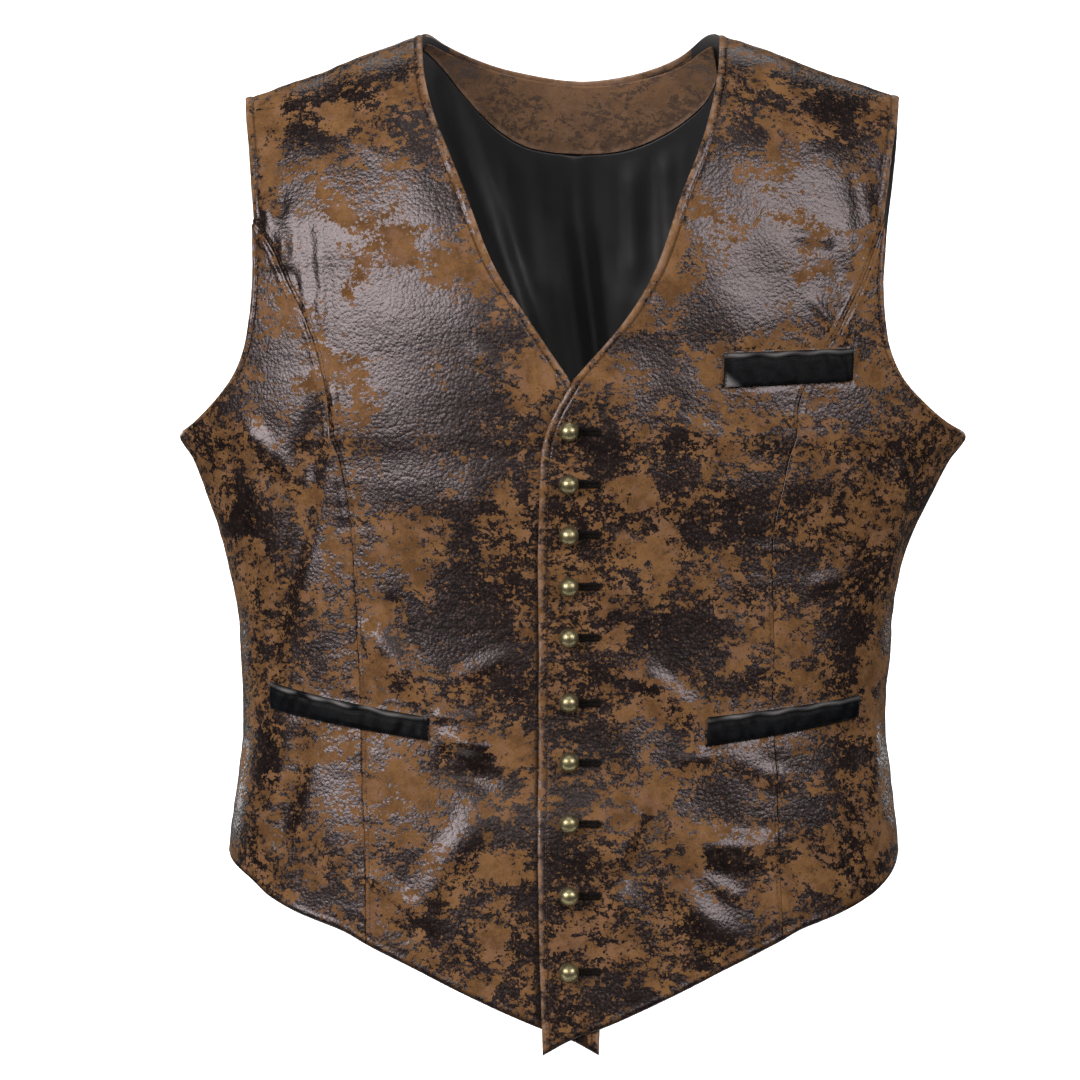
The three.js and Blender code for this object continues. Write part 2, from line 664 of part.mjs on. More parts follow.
// The back in one piece, its neck edge and shoulder seams along the top.
function back() {
  const half = (side) => {
    const key = backColumnOf(side);
    const atSide = sidePlace(side);
    const seam = line([...sideSeamHeights, armpit].map(atSide));
    const armPlaces = upFrom(armhole)
      .slice(0, -1)
      .map((r) => locate(side * r[key], r.height));
    const arm = line([atSide(armpit), ...armPlaces, seamPlace(side * armhole[0][key])]);
    return chain([seam, closer(arm, drawn)], [backRows.seam, backRows.armhole]);
  };
  const bottom = line(
    [-1, -0.75, -0.5, -0.25, 0, 0.25, 0.5, 0.75, 1].map((s) => ({
      angle: s * sideTurn,
      rise: THREE.MathUtils.lerp(backHem, sideHem, s * s) - closeFrom,
    })),
  );
  const neck = line(backNeck.map((r) => locate(r.across, r.height)));
  const rightSeam = seamLine(armhole[0].backRight, -backNeck[0].across, -1);
  const leftSeam = seamLine(backNeck.at(-1).across, armhole[0].backLeft, 1);
  const neckJoined = (t) => {
    const p = neck(t);
    const low = (1 - t) ** joinPower.back;
    const high = t ** joinPower.back;
    const joined = (key) =>
      p[key] +
      low * (rightSeam(1)[key] - neck(0)[key]) +
      high * (leftSeam(0)[key] - neck(1)[key]);
    return { angle: joined("angle"), rise: joined("rise") };
  };
  const columns = { shoulder: 5, neck: 12 };
  const wide = 2 * columns.shoulder + columns.neck;
  return patch({
    bottom: closerBoth(bottom, drawnShare),
    top: chain([rightSeam, neckJoined, leftSeam], [columns.shoulder, columns.neck, columns.shoulder]),
    start: half(-1),
    end: half(1),
    wide,
    tall: backRows.seam + backRows.armhole,
  });
}

const backFaces = (out, thick, fold = () => 0) => [
  (p) => clothPoint(Math.PI - p.angle, p.rise, out - fold(p)),
  (p) => clothPoint(Math.PI - p.angle, p.rise, out - thick - fold(p)),
];
add("back", wall(back(), ...backFaces(0, clothWall)), finish.leather);

// Inside the back: the facing along its neck edge and the lining below that.
const insideBack = -(clothWall + liningClear);
const facingColumns = 14;
const liningColumns = 4; // each side of those
const liningRows = { seam: 10, armhole: 10 };

function facing() {
  const upper = line(backNeck.map((r) => locate(r.across, r.height - facingInset)));
  const lower = line(facingEdge.map((r) => locate(r.across, r.height)));
  return patch({
    bottom: lower,
    top: upper,
    start: between(lower(0), upper(0)),
    end: between(lower(1), upper(1)),
    wide: facingColumns,
    tall: 4,
  });
}

function liningSheet() {
  const sideAngle = rad(lining.side);
  const lower = facingEdge.map((r) => locate(r.across, r.height - lining.clear));
  const half = (side) => {
    const key = backColumnOf(side);
    const atSide = (z) => ({ angle: side * sideAngle, rise: z - closeFrom });
    const top = armpit - lining.armIn;
    const seam = line([sideHem + lining.hemUp, ...sideSeamHeights.slice(1), top].map(atSide));
    const end = seamPlace(side * (armhole[0][key] - lining.armIn));
    const armPlaces = upFrom(armhole)
      .slice(1, -1)
      .map((r) => locate(side * (r[key] - lining.armIn), r.height));
    const arm = line([atSide(top), ...armPlaces, { ...end, rise: end.rise - lining.seamIn }]);
    return chain([seam, arm], [liningRows.seam, liningRows.armhole]);
  };
  const start = half(-1);
  const end = half(1);
  const bottom = line(
    [-1, -0.6, -0.2, 0.2, 0.6, 1].map((s) => ({
      angle: s * sideAngle,
      rise: THREE.MathUtils.lerp(backHem, sideHem, s * s) + lining.hemUp - closeFrom,
    })),
  );
  return patch({
    bottom: closerBoth(bottom, drawnShare),
    top: chain(
      [between(start(1), lower[0]), line(lower), between(lower.at(-1), end(1))],
      [liningColumns, facingColumns, liningColumns],
    ),
    start,
    end,
    wide: facingColumns + 2 * liningColumns,
    tall: liningRows.seam + liningRows.armhole,
  });
}

const liningFold = (p) => {
  const at = bareForm(p.angle, p.rise);
  const loose = THREE.MathUtils.smoothstep(-at.z, lining.looseFrom, lining.looseWhole);
  return foldSum(liningFolds, at.x, at.z) + loose * liningLoose;
};
add("back_neck_facing", wall(facing(), ...backFaces(insideBack, facingWall)), finish.leather);
add("back_lining", wall(liningSheet(), ...backFaces(insideBack, liningWall, liningFold)), finish.satin);

// A welt is a strip of the panel's own surface, moved out.
function welt({ place, x0, z0, deep0, x1, z1, deep1 }) {
  const side = place.endsWith("left") ? 1 : -1;
  const corner = (x, z) => locate(side * x, z);
  const [topIn, topOut] = [corner(x0, z0), corner(x1, z1)];
  const lowIn = corner(x0 - weltTaper.inner, z0 - deep0);
  const lowOut = corner(x1 - weltTaper.outer, z1 - deep1);
  return patch({
    bottom: between(lowIn, lowOut),
    top: between(topIn, topOut),
    start: between(lowIn, topIn),
    end: between(lowOut, topOut),
    wide: 9,
    tall: 2,
  });
}

for (const w of welts) {
  const lift = weltClear + weltWall;
  add(
    "welt_" + w.place,
    wall(
      welt(w),
      (p) => clothPoint(p.angle, p.rise, lift),
      (p) => clothPoint(p.angle, p.rise, lift - weltWall),
    ),
    finish.smoothLeather,
  );
}

export default waistcoat;
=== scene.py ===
import math
import bpy
import mathutils
import numpy as np
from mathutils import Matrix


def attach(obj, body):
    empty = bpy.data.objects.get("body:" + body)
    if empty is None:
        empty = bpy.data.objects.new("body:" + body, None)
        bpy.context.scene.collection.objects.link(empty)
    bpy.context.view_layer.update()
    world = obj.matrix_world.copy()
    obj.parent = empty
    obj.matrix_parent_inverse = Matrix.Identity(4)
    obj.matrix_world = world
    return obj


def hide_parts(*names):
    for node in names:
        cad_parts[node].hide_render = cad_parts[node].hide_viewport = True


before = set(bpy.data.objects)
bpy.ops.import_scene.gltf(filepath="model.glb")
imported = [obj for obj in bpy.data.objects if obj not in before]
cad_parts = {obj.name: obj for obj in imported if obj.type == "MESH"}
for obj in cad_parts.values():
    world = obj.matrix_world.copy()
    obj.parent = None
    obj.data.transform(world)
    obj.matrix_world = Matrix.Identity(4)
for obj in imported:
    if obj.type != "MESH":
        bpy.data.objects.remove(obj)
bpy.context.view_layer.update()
print("frame loaded:", len(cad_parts), "solids")

mm = 0.001
quarter = math.pi / 2
coarse = 1.0

# The body of the garment, level by level. Above closeFrom front and back lean together.
body = {
    "level": [-660, -560, -522, -496, -470, -445, -420, -394, -370, -342, -317, -291, -272, -256, -232,
              -200, -150, -100, 0, 90],
    "half": [214, 214, 213.5, 211.5, 208.5, 205.5, 205.5, 207.5, 209.5, 214.5, 222, 233, 242, 251.5, 250,
             246, 240, 234, 229, 227],
    "front": [98, 96, 94, 92, 89, 87, 86, 86, 87, 88, 90, 92, 93, 94, 94, 93, 91, 88, 84, 82],
    "back": [96, 94, 92, 89, 84, 78, 74, 72, 73, 76, 80, 85, 88, 90, 92, 94, 95, 94, 90, 86],
    "point": [0, 0, -0.05, -0.1, -0.15, -0.18, -0.18, -0.15, -0.1, 0, 0.12, 0.28, 0.4, 0.48, 0.48, 0.42,
              0.34, 0.28, 0.2, 0.15],
    "shift": [-4, -4, -4, -4, -3.5, -3.5, -3.5, -3, -3, -3, -2, 0, 1, 1.5, 1.5, 1, 1, 1.5, 2, 2],
    "closeFrom": -150,
    "shoulderOut": [0, 50, 93, 120, 150, 180, 200, 212, 240],
    "shoulderHeight": [18, 13, 1, -8.5, -20, -31, -38, -40.5, -44],
    "armpit": -256,
    "sideHem": -521.6,
    "backHem": -531,
    "girth": 220,  # turns an angle into a length along the cloth
    "seamGap": 0.08,
    "sideGap": 0.0004,  # half the gap of a side seam, as an angle
    "wall": 1.8,
}


# Curves and surfaces

def smooth(at, values):
    order = np.argsort(at)
    x, y = np.asarray(at, float)[order], np.asarray(values, float)[order]
    rate = np.diff(y) / np.diff(x)
    slope = np.concatenate([rate[:1], np.zeros(len(x) - 2), rate[-1:]])
    both, total = rate[:-1] * rate[1:], rate[:-1] + rate[1:]
    slope[1:-1] = np.where(both > 0, 2 * both / np.where(total == 0, 1, total), 0)

    def value(v):
        v = np.clip(v, x[0], x[-1])
        i = np.clip(np.searchsorted(x, v, side="right") - 1, 0, len(x) - 2)
        span = x[i + 1] - x[i]
        s = (v - x[i]) / span
        return (
            (2 * s**3 - 3 * s**2 + 1) * y[i] + (s**3 - 2 * s**2 + s) * span * slope[i]
            + (3 * s**2 - 2 * s**3) * y[i + 1] + (s**3 - s**2) * span * slope[i + 1]
        )

    return value


section = {key: smooth(body["level"], body[key]) for key in ("half", "front", "back", "point", "shift")}
shoulderHeight = smooth(body["shoulderOut"], body["shoulderHeight"])


def step(low, high, v):
    t = np.clip((v - low) / (high - low), 0, 1)
    return t * t * (3 - 2 * t)


def bump(v, middle, half):
    return np.exp(-(((v - middle) / half) ** 2))


# A point at an angle round the body (0 in front, growing to the wearer's left) and a rise: the length up
# the cloth from closeFrom.
def bareForm(angle, rise):
    level = body["closeFrom"] + rise
    out = section["half"](level) * np.sin(angle)
    facing = np.cos(angle)
    depth = np.where(facing > 0, section["front"](level), section["back"](level))
    reach = depth * facing * (1 - section["point"](level) * (1 - np.abs(facing)))
    slant = shoulderHeight(np.abs(out)) - body["closeFrom"]
    lean = np.clip(rise / slant, 0, quarter)
    height = np.where(rise > 0, body["closeFrom"] + slant * np.sin(lean), level)
    reach = np.where(rise > 0, reach * np.cos(lean), reach)
    return np.stack([out + section["shift"](level), -reach, height], axis=-1)


def riseOfSeam(out):
    return quarter * (shoulderHeight(np.abs(out)) - body["closeFrom"])


def outward(angle, rise):
    turn, lift = 0.004, 0.8
    top = riseOfSeam(section["half"](body["closeFrom"] + rise) * np.sin(angle))
    r = np.minimum(rise, top - 2 * lift)
    across = bareForm(angle + turn, r) - bareForm(angle - turn, r)
    up = bareForm(angle, r + lift) - bareForm(angle, r - lift)
    normal = np.cross(across, up)
    return normal / np.linalg.norm(normal, axis=-1, keepdims=True)


# The angle and rise of places on the front, from their distance across and their height.
def locate(across, height):
    across, height = np.broadcast_arrays(np.asarray(across, float), np.asarray(height, float))
    rise = height - body["closeFrom"]
    for _ in range(4):
        level = body["closeFrom"] + rise
        out = across - section["shift"](level)
        slant = shoulderHeight(np.abs(out)) - body["closeFrom"]
        share = np.clip((height - body["closeFrom"]) / slant, 0, 1)
        rise = np.where(height > body["closeFrom"], slant * np.arcsin(share), rise)
    sine = np.clip(out / section["half"](body["closeFrom"] + rise), -1, 1)
    return np.stack([np.arcsin(sine), rise], axis=-1)


def seamPlace(across):
    out = across - section["shift"](np.float64(body["level"][-1]))
    rise = riseOfSeam(out) - 3 * body["seamGap"]
    return np.stack([np.arcsin(out / section["half"](body["closeFrom"] + rise)), rise], axis=-1)


# Folds run from one point to another as seen from their own side: x0, z0, x1, z1, rise, half width.
def foldSum(folds, x, z):
    total = np.zeros_like(x)
    for x0, z0, x1, z1, rise, half in folds:
        length = math.hypot(x1 - x0, z1 - z0)
        along = ((x - x0) * (x1 - x0) + (z - z0) * (z1 - z0)) / length
        aside = np.abs((x - x0) * (z1 - z0) - (z - z0) * (x1 - x0)) / length
        ends = np.clip((np.minimum(along, length - along) + half) / (2 * half), 0, 1)
        form = np.cos(quarter * aside / half) ** 2 * np.sin(quarter * ends) ** 2
        total += np.where(aside < half, rise * form, 0)
    return total


# A gentle wave with no repeat that shows: a sum of sines of seeded phases.
def ripple(v, shortest, longest, seed, waves=5):
    draw = np.random.default_rng(seed)
    total = 0
    for k in range(waves):
        length = shortest * (longest / shortest) ** draw.random()
        total = total + np.sin(2 * math.pi * (v / length + draw.random()))
    return total / math.sqrt(waves)


# A smooth line through places, centripetal, by its length from 0 to 1.
def line(*places):
    p = np.vstack([np.atleast_2d(q) for q in places]) * [body["girth"], 1]
    ghost = np.vstack([2 * p[0] - p[1], p, 2 * p[-1] - p[-2]])
    knots = np.concatenate([[0], np.cumsum(np.sqrt(np.linalg.norm(np.diff(ghost, axis=0), axis=1)))])
    arcs = []
    for i in range(1, len(ghost) - 2):
        t0, t1, t2, t3 = knots[i - 1:i + 3]
        p0, p1, p2, p3 = ghost[i - 1:i + 3]
        m1 = (t2 - t1) * ((p1 - p0) / (t1 - t0) - (p2 - p0) / (t2 - t0) + (p2 - p1) / (t2 - t1))
        m2 = (t2 - t1) * ((p2 - p1) / (t2 - t1) - (p3 - p1) / (t3 - t1) + (p3 - p2) / (t3 - t2))
        s = np.linspace(0, 1, 40, endpoint=False)[:, None]
        arcs.append((2 * s**3 - 3 * s**2 + 1) * p1 + (s**3 - 2 * s**2 + s) * m1
                    + (3 * s**2 - 2 * s**3) * p2 + (s**3 - s**2) * m2)
    path = np.vstack(arcs + [p[-1:]])
    length = np.concatenate([[0], np.cumsum(np.linalg.norm(np.diff(path, axis=0), axis=1))])
    length /= length[-1]

    def at(t):
        turn, rise = np.interp(t, length, path[:, 0]), np.interp(t, length, path[:, 1])
        return np.stack([turn / body["girth"], rise], -1)

    return at


def straight(p, q):
    return line(p, (p + q) / 2, q)


# Lines one after another as one boundary, each up to its share.
def chain(lines, ends):
    def at(t):
        t = np.asarray(t, float)
        result, start = np.zeros(t.shape + (2,)), 0
        for curve, end in zip(lines, ends):
            inside = (t >= start - 1e-9) if start else np.ones(t.shape, bool)
            result[inside] = curve(np.clip((t[inside] - start) / (end - start), 0, 1))
            start = end
        return result

    return at


def patch(bottom, top, start, end, u, t):
    b, a, s, e = bottom(u)[None], top(u)[None], start(t)[:, None], end(t)[:, None]
    u, t = u[None, :, None], t[:, None, None]
    return (
        (1 - t) * b + t * a + (1 - u) * s + u * e
        - (1 - u) * (1 - t) * s[0] - u * (1 - t) * e[0] - (1 - u) * t * s[-1] - u * t * e[-1]
    )


# Shaders

class Term:
    def __init__(self, finish, socket):
        self.finish, self.socket = finish, socket

    def math(self, operation, *values):
        sockets = dict(enumerate(values))
        return self.finish.node("ShaderNodeMath", {"operation": operation}, sockets)

    def __add__(self, other):
        return self.math("ADD", self, other)

    def __mul__(self, other):
        return self.math("MULTIPLY", self, other)

    def __sub__(self, other):
        return self.math("SUBTRACT", self, other)

    def __rsub__(self, other):
        return self.math("SUBTRACT", other, self)

    __radd__, __rmul__ = __add__, __mul__

    def between(self, low, high):
        spans = {"Value": self, "From Min": low, "From Max": high, "To Min": 0.0, "To Max": 1.0}
        return self.finish.node("ShaderNodeMapRange", {"interpolation_type": "SMOOTHSTEP"}, spans)


def addNode(tree, kind, settings=None, sockets=None):
    made = tree.nodes.new(kind)
    for key, value in (settings or {}).items():
        setattr(made, key, value)
    for key, value in (sockets or {}).items():
        if isinstance(value, bpy.types.NodeSocket):
            tree.links.new(value, made.inputs[key])
        else:
            made.inputs[key].default_value = value
    return made


class Finish:
    def __init__(self, name):
        self.material = bpy.data.materials.new(name)
        self.material.use_nodes = True
        self.tree = self.material.node_tree
        self.tree.nodes.clear()

    def node(self, kind, settings=None, sockets=None, output=0):
        given = {key: getattr(value, "socket", value) for key, value in (sockets or {}).items()}
        made = addNode(self.tree, kind, settings, given)
        return Term(self, made.outputs[output]) if made.outputs else None

    def place(self):
        return self.node("ShaderNodeTexCoord", output="Object")

    def attribute(self, name, output="Fac"):
        return self.node("ShaderNodeAttribute", {"attribute_name": name}, output=output)

    def vector(self, operation, a, b):
        return self.node("ShaderNodeVectorMath", {"operation": operation}, {0: a, 1: b})

    def noise(self, place, size, detail=3.0, rough=0.55):
        sockets = {"Vector": place, "Scale": 1 / (size * mm), "Detail": detail, "Roughness": rough}
        return self.node("ShaderNodeTexNoise", None, sockets)

    def cells(self, place, size, output="Distance"):
        sockets = {"Vector": place, "Scale": 1 / (size * mm)}
        return self.node("ShaderNodeTexVoronoi", {"feature": "F1"}, sockets, output)

    def mix(self, share, a, b):
        def colour(c):
            return c if isinstance(c, Term) else (*c, 1.0)

        return self.node("ShaderNodeMix", {"data_type": "RGBA"}, {0: share, 6: colour(a), 7: colour(b)}, 2)

    def bumps(self, height, depth):
        return self.node("ShaderNodeBump", None, {"Height": height, "Distance": depth * mm, "Strength": 1.0})

    def shader(self, **sockets):
        named = {key.replace("_", " "): value for key, value in sockets.items()}
        return self.node("ShaderNodeBsdfPrincipled", None, named)

    def finish(self, surface):
        self.node("ShaderNodeOutputMaterial", None, {"Surface": surface})
        return self.material


leather = {
    "tan": ((0.093, 0.045, 0.017), (0.194, 0.099, 0.039)),  # rubbed-through suede, deep and light
    "rosy": (0.212, 0.114, 0.069),
    "fleckColour": (0.055, 0.028, 0.013),
    "film": ((0.004, 0.0022, 0.002), (0.011, 0.0065, 0.006)),  # the dark coat that is left
    # painted highlight on the pebble tops of the dark coat, with some tan flecks through it
    "pebbleFleckAndGlint": (0.088, 0.051, 0.033),
    # the colour of a rubbed rim, also used for painted light on the inner faces round the neck
    "worn": (0.310, 0.200, 0.138),
    "slant": (0.75, 1.0, 1.15),  # the blotches are drawn out sideways
    "blotch": 32.0,
    "tuft": 9.0,
    "fleck": 4.2,
    "grain": 1.7,
    "pebble": 2.2,
    "crease": 13.0,
    "weights": {"blotch": 1.8, "tuft": 1.9, "fleck": 2.0, "grain": 1.7, "pebble": 0.55},
    "patches": 0.60,
    "rubbed": 0.25,
    "more": 0.08,  # the higher, the more coat is left
    "rimWide": 4.8,
    # how far in from the hem the painted shade reaches
    "hemShadeWide": 4.8,
    "filmRough": 0.27,
    "tanRough": 0.88,
    "gloss": 0.5,
    "glossTint": (1.0, 0.88, 0.89, 1.0),
    "dullness": 0.12,
    "pebbleRise": -0.62,
    "creaseRise": 2.2,
    "tanRelief": 0.3,
    "filmRelief": 0.21,
}


def distressedLeather():
    f = Finish("distressedLeather")
    place = f.vector("ADD", f.place(), f.attribute("cut", "Vector"))
    slanted = f.vector("MULTIPLY", place, leather["slant"])
    pebbles = f.cells(place, leather["pebble"], "Color")
    field = {
        "blotch": f.noise(slanted, leather["blotch"], 4.0, 0.6),
        "tuft": f.noise(slanted, leather["tuft"], 3.0, 0.65),
        "fleck": f.noise(slanted, leather["fleck"], 2.0, 0.6),
        "grain": f.noise(place, leather["grain"], 2.0, 0.65),
        "pebble": f.node("ShaderNodeSeparateColor", None, {0: pebbles}),
    }
    grain, fleck = field["grain"], field["fleck"]
    gap = f.cells(place, leather["pebble"])
    rubbed = 1 - f.attribute("rim").between(0.4, leather["rimWide"])
    level = f.attribute("patches") * leather["patches"] - rubbed * leather["rubbed"]
    for name, weight in leather["weights"].items():
        level = level + (field[name] - 0.5) * weight
    level = level + leather["more"]
    film = level.between(-0.06, 0.08)
    thick = level.between(0.05, 1.0)

    cloudy = f.noise(place, 17.0, 3.0, 0.6) * 0.65 + grain * 0.35
    tan = f.mix(cloudy.between(0.34, 0.66), *leather["tan"])
    tan = f.mix(f.noise(place, 12.0, 3.0, 0.6).between(0.48, 0.66) * 0.45, tan, leather["rosy"])
    tan = f.mix((fleck + grain).between(1.1, 1.3) * 0.55, tan, leather["fleckColour"])
    coat = f.mix(field["tuft"].between(0.35, 0.7), *leather["film"])
    # Painted highlight on the pebble tops, away from the gaps between them, with some tan flecks through the
    # coat
    pebbleFlecksAndGlints = (1 - gap.between(0.2, 0.6)) * (1 - thick * 0.7) * (field["pebble"] + grain).between(0.85, 1.4)
    coat = f.mix(pebbleFlecksAndGlints, coat, leather["pebbleFleckAndGlint"])
    colour = f.mix(film, tan, coat)
    worn = rubbed * f.noise(place, 9.0, 3.0, 0.7).between(0.4, 0.62) * 0.6
    # The rubbed rim is real wear; the inner faces round the neck get painted light in the same colour
    colour = f.mix(worn + f.attribute("pale"), colour, leather["worn"])
    # Painted shade: darker in the stitched groove, along the hem's turned edge and beside the lap's edge
    paintedShade = {"groove": (0.1, 1.2, 0.6), "hem": (0.8, leather["hemShadeWide"], 0.85)}
    for mark, (near, far, most) in paintedShade.items():
        colour = f.mix((1 - f.attribute(mark).between(near, far)) * most, colour, leather["film"][0])

    creases = f.noise(slanted, leather["crease"], 5.0, 0.62) * leather["creaseRise"]
    suede = f.shader(Base_Color=colour, Roughness=grain * 0.1 + leather["tanRough"],
                     Normal=f.bumps(grain + creases, leather["tanRelief"]),
                     Specular_IOR_Level=leather["dullness"])
    relief = gap * leather["pebbleRise"] + grain * 0.5 + creases
    coated = f.shader(Base_Color=colour, Roughness=(grain - 0.5) * 0.2 + pebbleFlecksAndGlints * 0.06 + leather["filmRough"],
                      Normal=f.bumps(relief, leather["filmRelief"]), Specular_IOR_Level=leather["gloss"],
                      Specular_Tint=leather["glossTint"])
    return f.finish(f.node("ShaderNodeMixShader", None, {0: film, 1: suede, 2: coated}))


blackSatin = {
    "colour": ((0.011, 0.011, 0.012), (0.017, 0.017, 0.019)),
    "twill": 900.0,
    "cloud": 26.0,
    "slub": 9.0,
    "rough": 0.42,
    "sheen": 0.25,
    "relief": 0.16,
}


def satin():
    f = Finish("blackSatin")
    place = f.place()
    twill = f.node("ShaderNodeTexWave", {"wave_type": "BANDS", "bands_direction": "DIAGONAL"},
                   {"Vector": place, "Scale": blackSatin["twill"], "Distortion": 0.4})
    cloud = f.noise(place, blackSatin["cloud"], 3.0, 0.5)
    weave = twill * 0.06 + f.noise(place, blackSatin["slub"]) * 0.9
    return f.finish(f.shader(Base_Color=f.mix(cloud, *blackSatin["colour"]),
                             Roughness=cloud * 0.12 + blackSatin["rough"], Sheen_Weight=blackSatin["sheen"],
                             Normal=f.bumps(weave, blackSatin["relief"])))


blackLeather = {
    "colour": ((0.002, 0.0022, 0.0026), (0.0055, 0.0062, 0.0072)),
    "sheen": (0.175, 0.172, 0.168),  # painted highlight on the rolled lip and the folded corner
    "grain": 0.9,
    "crease": 7.0,
    "rough": 0.30,
    "dullness": 0.045,
    "relief": 0.2,
}


def smoothLeather():
    f = Finish("blackLeather")
    place = f.place()
    grain = f.cells(place, blackLeather["grain"])
    creases = f.noise(place, blackLeather["crease"], 4.0, 0.6)
    colour = f.mix(creases.between(0.35, 0.7), *blackLeather["colour"])
    # Painted highlight on the lip and the folded corner
    colour = f.mix(f.attribute("sheen"), colour, blackLeather["sheen"])
    return f.finish(f.shader(Base_Color=colour, Roughness=creases * 0.22 + blackLeather["rough"],
                             Specular_IOR_Level=blackLeather["dullness"],
                             Normal=f.bumps(grain * -0.25 + creases * 1.4, blackLeather["relief"])))


brass = {
    "colour": ((0.37, 0.325, 0.185), (0.205, 0.180, 0.090)),
    "tarnish": (0.075, 0.065, 0.035),
    "paintedShade": (0.028, 0.024, 0.014),  # painted shade round the foot of the ball, where it turns back to the cloth
    "paintedShadeTo": 3.6,
    "stainSize": 3.6,
    "tarnishSize": 1.1,
    "rough": 0.27,
    "metal": 0.92,
    "relief": 0.05,
}


def agedBrass():
    f = Finish("agedBrass")
    place = f.place()
    stain = f.noise(place, brass["stainSize"], 5.0, 0.6)
    tarnish = f.noise(place, brass["tarnishSize"], 4.0, 0.7)
    colour = f.mix(stain.between(0.35, 0.68), *brass["colour"])
    colour = f.mix(tarnish.between(0.58, 0.72) * 0.6, colour, brass["tarnish"])
    # Painted shade round the foot of the ball
    colour = f.mix((1 - f.attribute("rim").between(0.2, brass["paintedShadeTo"])) * 0.85, colour, brass["paintedShade"])
    rough = stain * 0.2 + brass["rough"]
    return f.finish(f.shader(Base_Color=colour, Metallic=brass["metal"], Roughness=rough,
                             Normal=f.bumps(tarnish, brass["relief"])))


threads = {
    "thread": ("brownThread", (0.050, 0.026, 0.014), (0.13, 0.075, 0.042)),
    "blackThread": ("blackThread", (0.002, 0.0015, 0.001), (0.007, 0.005, 0.004)),
}


def thread(name, dark, light):
    f = Finish(name)
    twist = f.noise(f.place(), 0.5, 2.0, 0.6)
    return f.finish(f.shader(Base_Color=f.mix(twist.between(0.3, 0.7), dark, light),
                             Roughness=twist * 0.2 + 0.55, Specular_IOR_Level=0.12,
                             Normal=f.bumps(twist, 0.06)))


finishes = {"leather": distressedLeather(), "satin": satin(), "welt": smoothLeather(), "brass": agedBrass()}
for name, row in threads.items():
    finishes[name] = thread(*row)
print("finishes ready")


# Panels

cloth = {
    "rimSteps": [0, 0.3, 0.75, 1.4, 2.2, 3.2, 4.2, 4.9, 5.5, 6.1, 6.9, 8.2, 10],
    "step": 2.3,
    "backStep": 3.0,
    "liningStep": 3.2,
    "weltStep": 1.1,
    "rimShare": 0.42,  # of a piece's length, at most, the rim steps take at each end
    "turn": 1.3,  # radius of a turned edge
    "stitchIn": 5.5,
    "seamIn": 2.6,
    "pucker": 0.2,
    "puckerReach": 13,
    "puckerMost": 1.3,
    "puckerLength": (9, 24),
    "puckerRest": (40, 90),  # the gathers come and go at this pace
    "swell": 0.55,
    "swellLength": (45, 75),
    "swellWaves": 7,
    "swellSeed": 11,
    "deepest": 0.55,  # of the wall, for creases and grooves
    "sideFade": 0.2,  # folds fade out at the sides, where they would be seen end on
    "creaseLimits": (-1.2, 1.5),
    "far": 40.0,  # the distance mark of places that are near no edge
}
# How far an edge's outer and inner faces turn in, then the height, place and half width of its puff and of
# its stitched groove, and the distance marks that it leaves, for rubbed wear and for painted shade. The
# lapping edge is flatter.
edgeKinds = {
    "seam": {"turn": (0.25, 0.0), "puff": (0.24, 3.8, 1.6), "groove": (0.16, cloth["seamIn"], 0.6),
             "marks": []},
    "free": {"turn": (0.6, 0.36), "puff": (0.32, 2.8, 1.8), "groove": (0.42, cloth["stitchIn"], 0.85),
             "marks": ["rim", "groove"]},
    "lap": {"turn": (0.6, 0.36), "puff": (0.128, 2.8, 1.8), "groove": (0.168, cloth["stitchIn"], 0.85),
            "marks": ["rim", "groove"]},
    "hem": {"turn": (0.6, 0.36), "puff": (0.32, 2.8, 1.8), "marks": ["hem"]},
    "plain": {"turn": (0.5, 0.3), "marks": ["rim"]},
    "flat": {"turn": (0.5, 0.3), "marks": []},  # hidden, so it isn't rubbed pale
}
